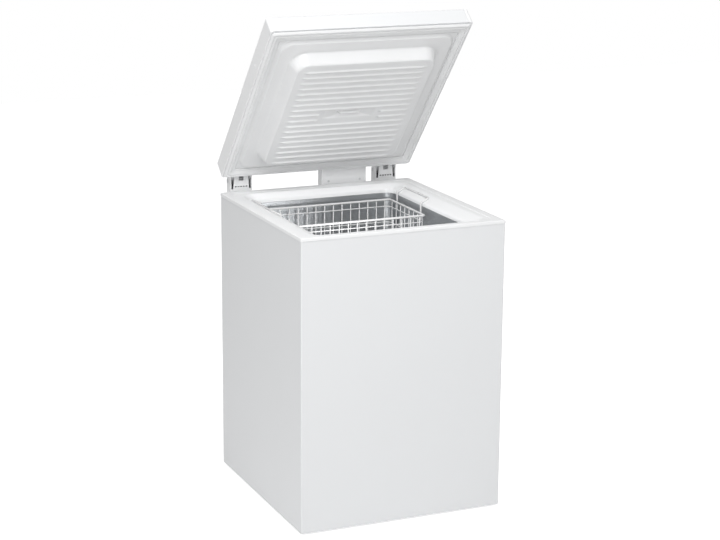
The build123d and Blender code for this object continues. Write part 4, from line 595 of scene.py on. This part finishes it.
def liner_sheet():
    """The height field on a grid that is finest over the plateau, and a flat back that closes it."""
    flank = spaced(SIDE_BREAKS, SIDE_COUNTS)
    x = np.concatenate((-flank, np.linspace(-RIB_REACH, RIB_REACH, RIB_COLUMNS), flank[::-1]))
    rear, front = spaced(REAR_BREAKS, REAR_COUNTS), spaced(FRONT_BREAKS, FRONT_COUNTS)
    v = np.concatenate((rear, np.linspace(REAR_BREAKS[-1], FRONT_BREAKS[-1], RIB_ROWS), front[::-1]))
    grid_x, grid_v = np.meshgrid(x, v)
    face = opened(grid_x, LID_REAR - grid_v, LID_UNDER - liner_height(grid_x, grid_v))
    rows, columns = grid_x.shape
    index = np.arange(rows * columns).reshape(rows, columns)
    border = np.concatenate((index[0, :-1], index[:-1, -1], index[-1, :0:-1], index[:0:-1, 0]))
    flat = opened(grid_x, LID_REAR - grid_v, np.full_like(grid_x, LID_UNDER + LINER_SHEET))
    back = flat.reshape(-1, 3)[border]
    start = rows * columns
    here, there = np.arange(len(border)), (np.arange(len(border)) + 1) % len(border)
    wall = np.stack((border[here], border[there], start + there, start + here), axis=-1)
    faces = [*grid_faces(rows, columns, False, False)[:, ::-1], *wall, start + here]
    return np.concatenate((face.reshape(-1, 3), back)), faces


add_piece("lid_formed_liner", *liner_sheet(), "lid", ["lid_liner"])

# %% [markdown]
# The seal is an extruded vinyl frame, welded at its corners. Its section has a flat flange that is held
# under the liner's edge, and a soft bulb towards the outside that meets the collar, with a groove along it
# where the magnet strip would lie. It is a ring, so it is a rounded section carried round the lid.

# %% Lid seal
SEAL_SECTION = np.array([
    # inset at the sides, inset at the front and rear, depth below the lid, corner radius
    (6.5, 6.5, 0.0, 9.0),
    (6.5, 6.5, 1.0, 9.0),
    (4.0, 4.0, 1.6, 9.0),
    (4.4, 4.4, 3.2, 9.0),
    (8.4, 8.4, 7.2, 8.0),
    (12.0, 12.0, 7.2, 8.0),
    (13.4, 13.4, 5.0, 8.0),
    (14.6, 14.6, 5.0, 8.0),
    (17.4, 17.4, 7.0, 8.0),
    (19.6, 19.6, 7.0, 8.0),
    (27.5, 29.5, 2.4, 8.0),
    (31.5, 36.5, 2.2, 8.0),
    (31.5, 36.5, 0.0, 8.0),
])
# the share of the side before and after each corner that its rounding takes up
SEAL_CUT_BEFORE = (0.05, 0.2, 0.3, 0.3, 0.35, 0.3, 0.3, 0.3, 0.3, 0.4, 0.2, 0.1, 0.2)
SEAL_CUT_AFTER = (0.2, 0.3, 0.3, 0.3, 0.3, 0.3, 0.3, 0.3, 0.4, 0.2, 0.3, 0.3, 0.05)


def seal_points():
    """The rounded section's rows round the closed lid, then turned with it."""
    side, end, depth, radius = round_profile(SEAL_SECTION, SEAL_CUT_BEFORE, SEAL_CUT_AFTER).T
    x, y = rounded_loops(LID_HALF - side, LID_FRONT + end, LID_REAR - end, radius)
    return opened(x, y, np.broadcast_to(LID_UNDER - depth[:, None], x.shape))


points = seal_points()
add_piece("lid_seal", points, grid_faces(*points.shape[:2], True, True), "lid", ["lid_gasket"])

# %% [markdown]
# The basket is bent and welded from coated wire. Flat nets stand for it in the CAD. Here each wire is a
# tube along a flat path: wires that run down the front, across the floor and up the back, wires along the
# basket that turn up at both ends, and hoops round it at each height. A flat path needs no twisting frame:
# the tube's circle lies between the path's own normal and the direction square to its plane.

# %% Basket wires
BASKET_HALF, BASKET_FRONT, BASKET_BACK = 209.0, -14.75, 225.25
BASKET_TOP, BASKET_LOW = 767.3, 577.3
WIRE, WIRE_SIDES, WIRE_BEND = 3.0, 10, 16.0
TIP_LENGTH, TIP_SHARE = 0.8, 0.3
CROSS_WIRES, LONG_WIRES, HOOPS = 15, 8, 4


def flat_tube(path, square, diameter, closed):
    """Rings of points round a flat path. Ring points are path + r (cos a square + sin a normal). An open
    tube draws in to a narrower ring at each end, which a flat face closes."""
    path = np.asarray(path, float)
    ahead, behind = np.roll(path, -1, axis=0), np.roll(path, 1, axis=0)
    if not closed:
        ahead[-1], behind[0] = path[-1], path[0]
    along = ahead - behind
    along /= np.linalg.norm(along, axis=1)[:, None]
    normal = np.cross(square, along)
    radius = np.full(len(path), diameter / 2)
    if not closed:
        radius[[0, -1]] *= TIP_SHARE
    angle = np.linspace(0, 2 * math.pi, WIRE_SIDES, endpoint=False)[None, :, None]
    ring = np.cos(angle) * np.asarray(square, float) + np.sin(angle) * normal[:, None, :]
    points = path[:, None, :] + radius[:, None, None] * ring
    faces = grid_faces(len(path), WIRE_SIDES, closed, True)[:, ::-1]
    if closed:
        return points.reshape(-1, 3), [list(face) for face in faces]
    last_ring = (len(path) - 1) * WIRE_SIDES
    tips = [list(range(WIRE_SIDES)), list(range(last_ring + WIRE_SIDES - 1, last_ring - 1, -1))]
    return points.reshape(-1, 3), [list(face) for face in faces] + tips


def bent_path(corners, bend, steps=7):
    """A path through corners, each rounded by a parabola of the given reach, with a short tip at each end:
    (1-t)^2 A + 2t(1-t) corner + t^2 B."""
    corners = np.asarray(corners, float)
    inner = corners[1:-1]
    to_before, to_after = corners[:-2] - inner, corners[2:] - inner
    first = inner + bend * to_before / np.linalg.norm(to_before, axis=1)[:, None]
    last = inner + bend * to_after / np.linalg.norm(to_after, axis=1)[:, None]
    t = np.linspace(0, 1, steps)[None, :, None]
    curve = (1 - t) ** 2 * first[:, None] + 2 * t * (1 - t) * inner[:, None] + t ** 2 * last[:, None]
    lead = (corners[1] - corners[0]) / np.linalg.norm(corners[1] - corners[0])
    tail = (corners[-2] - corners[-1]) / np.linalg.norm(corners[-2] - corners[-1])
    start = [corners[0], corners[0] + TIP_LENGTH * lead]
    end = [corners[-1] + TIP_LENGTH * tail, corners[-1]]
    return np.concatenate((start, curve.reshape(-1, 3), end))


def join_tubes(tubes):
    """One list of points and faces from several tubes."""
    points, faces, start = [], [], 0
    for part_points, part_faces in tubes:
        points.append(part_points)
        faces += [[start + corner for corner in face] for face in part_faces]
        start += len(part_points)
    return np.concatenate(points), faces


def basket_tubes():
    """The wires across and along the basket, and its hoops, each a diameter apart where they cross."""
    r = WIRE / 2
    front, back, half = BASKET_FRONT + r, BASKET_BACK - r, BASKET_HALF - r
    low, top = BASKET_LOW + r, BASKET_TOP
    tubes = []
    for x in np.linspace(-half + WIRE_BEND, half - WIRE_BEND, CROSS_WIRES):
        corners = [(x, front, top), (x, front, low), (x, back, low), (x, back, top)]
        tubes.append(flat_tube(bent_path(corners, WIRE_BEND), (1, 0, 0), WIRE, False))
    for y in np.linspace(front + WIRE_BEND, back - WIRE_BEND, LONG_WIRES):
        corners = [(-half, y, top), (-half, y, low + WIRE), (half, y, low + WIRE), (half, y, top)]
        tubes.append(flat_tube(bent_path(corners, WIRE_BEND), (0, 1, 0), WIRE, False))
    for z in np.linspace(low + 2 * WIRE_BEND, top - WIRE_BEND, HOOPS):
        x, y = rounded_loops([half - WIRE], [front + WIRE], [back - WIRE], [WIRE_BEND])
        hoop = np.stack((x[0], y[0], np.full(x.shape[1], z)), axis=-1)
        tubes.append(flat_tube(hoop, (0, 0, 1), WIRE, True))
    return join_tubes(tubes)


NETS = ["basket_front", "basket_back", "basket_ends", "basket_floor"]
add_piece("basket_wires", *basket_tubes(), "basket", NETS)
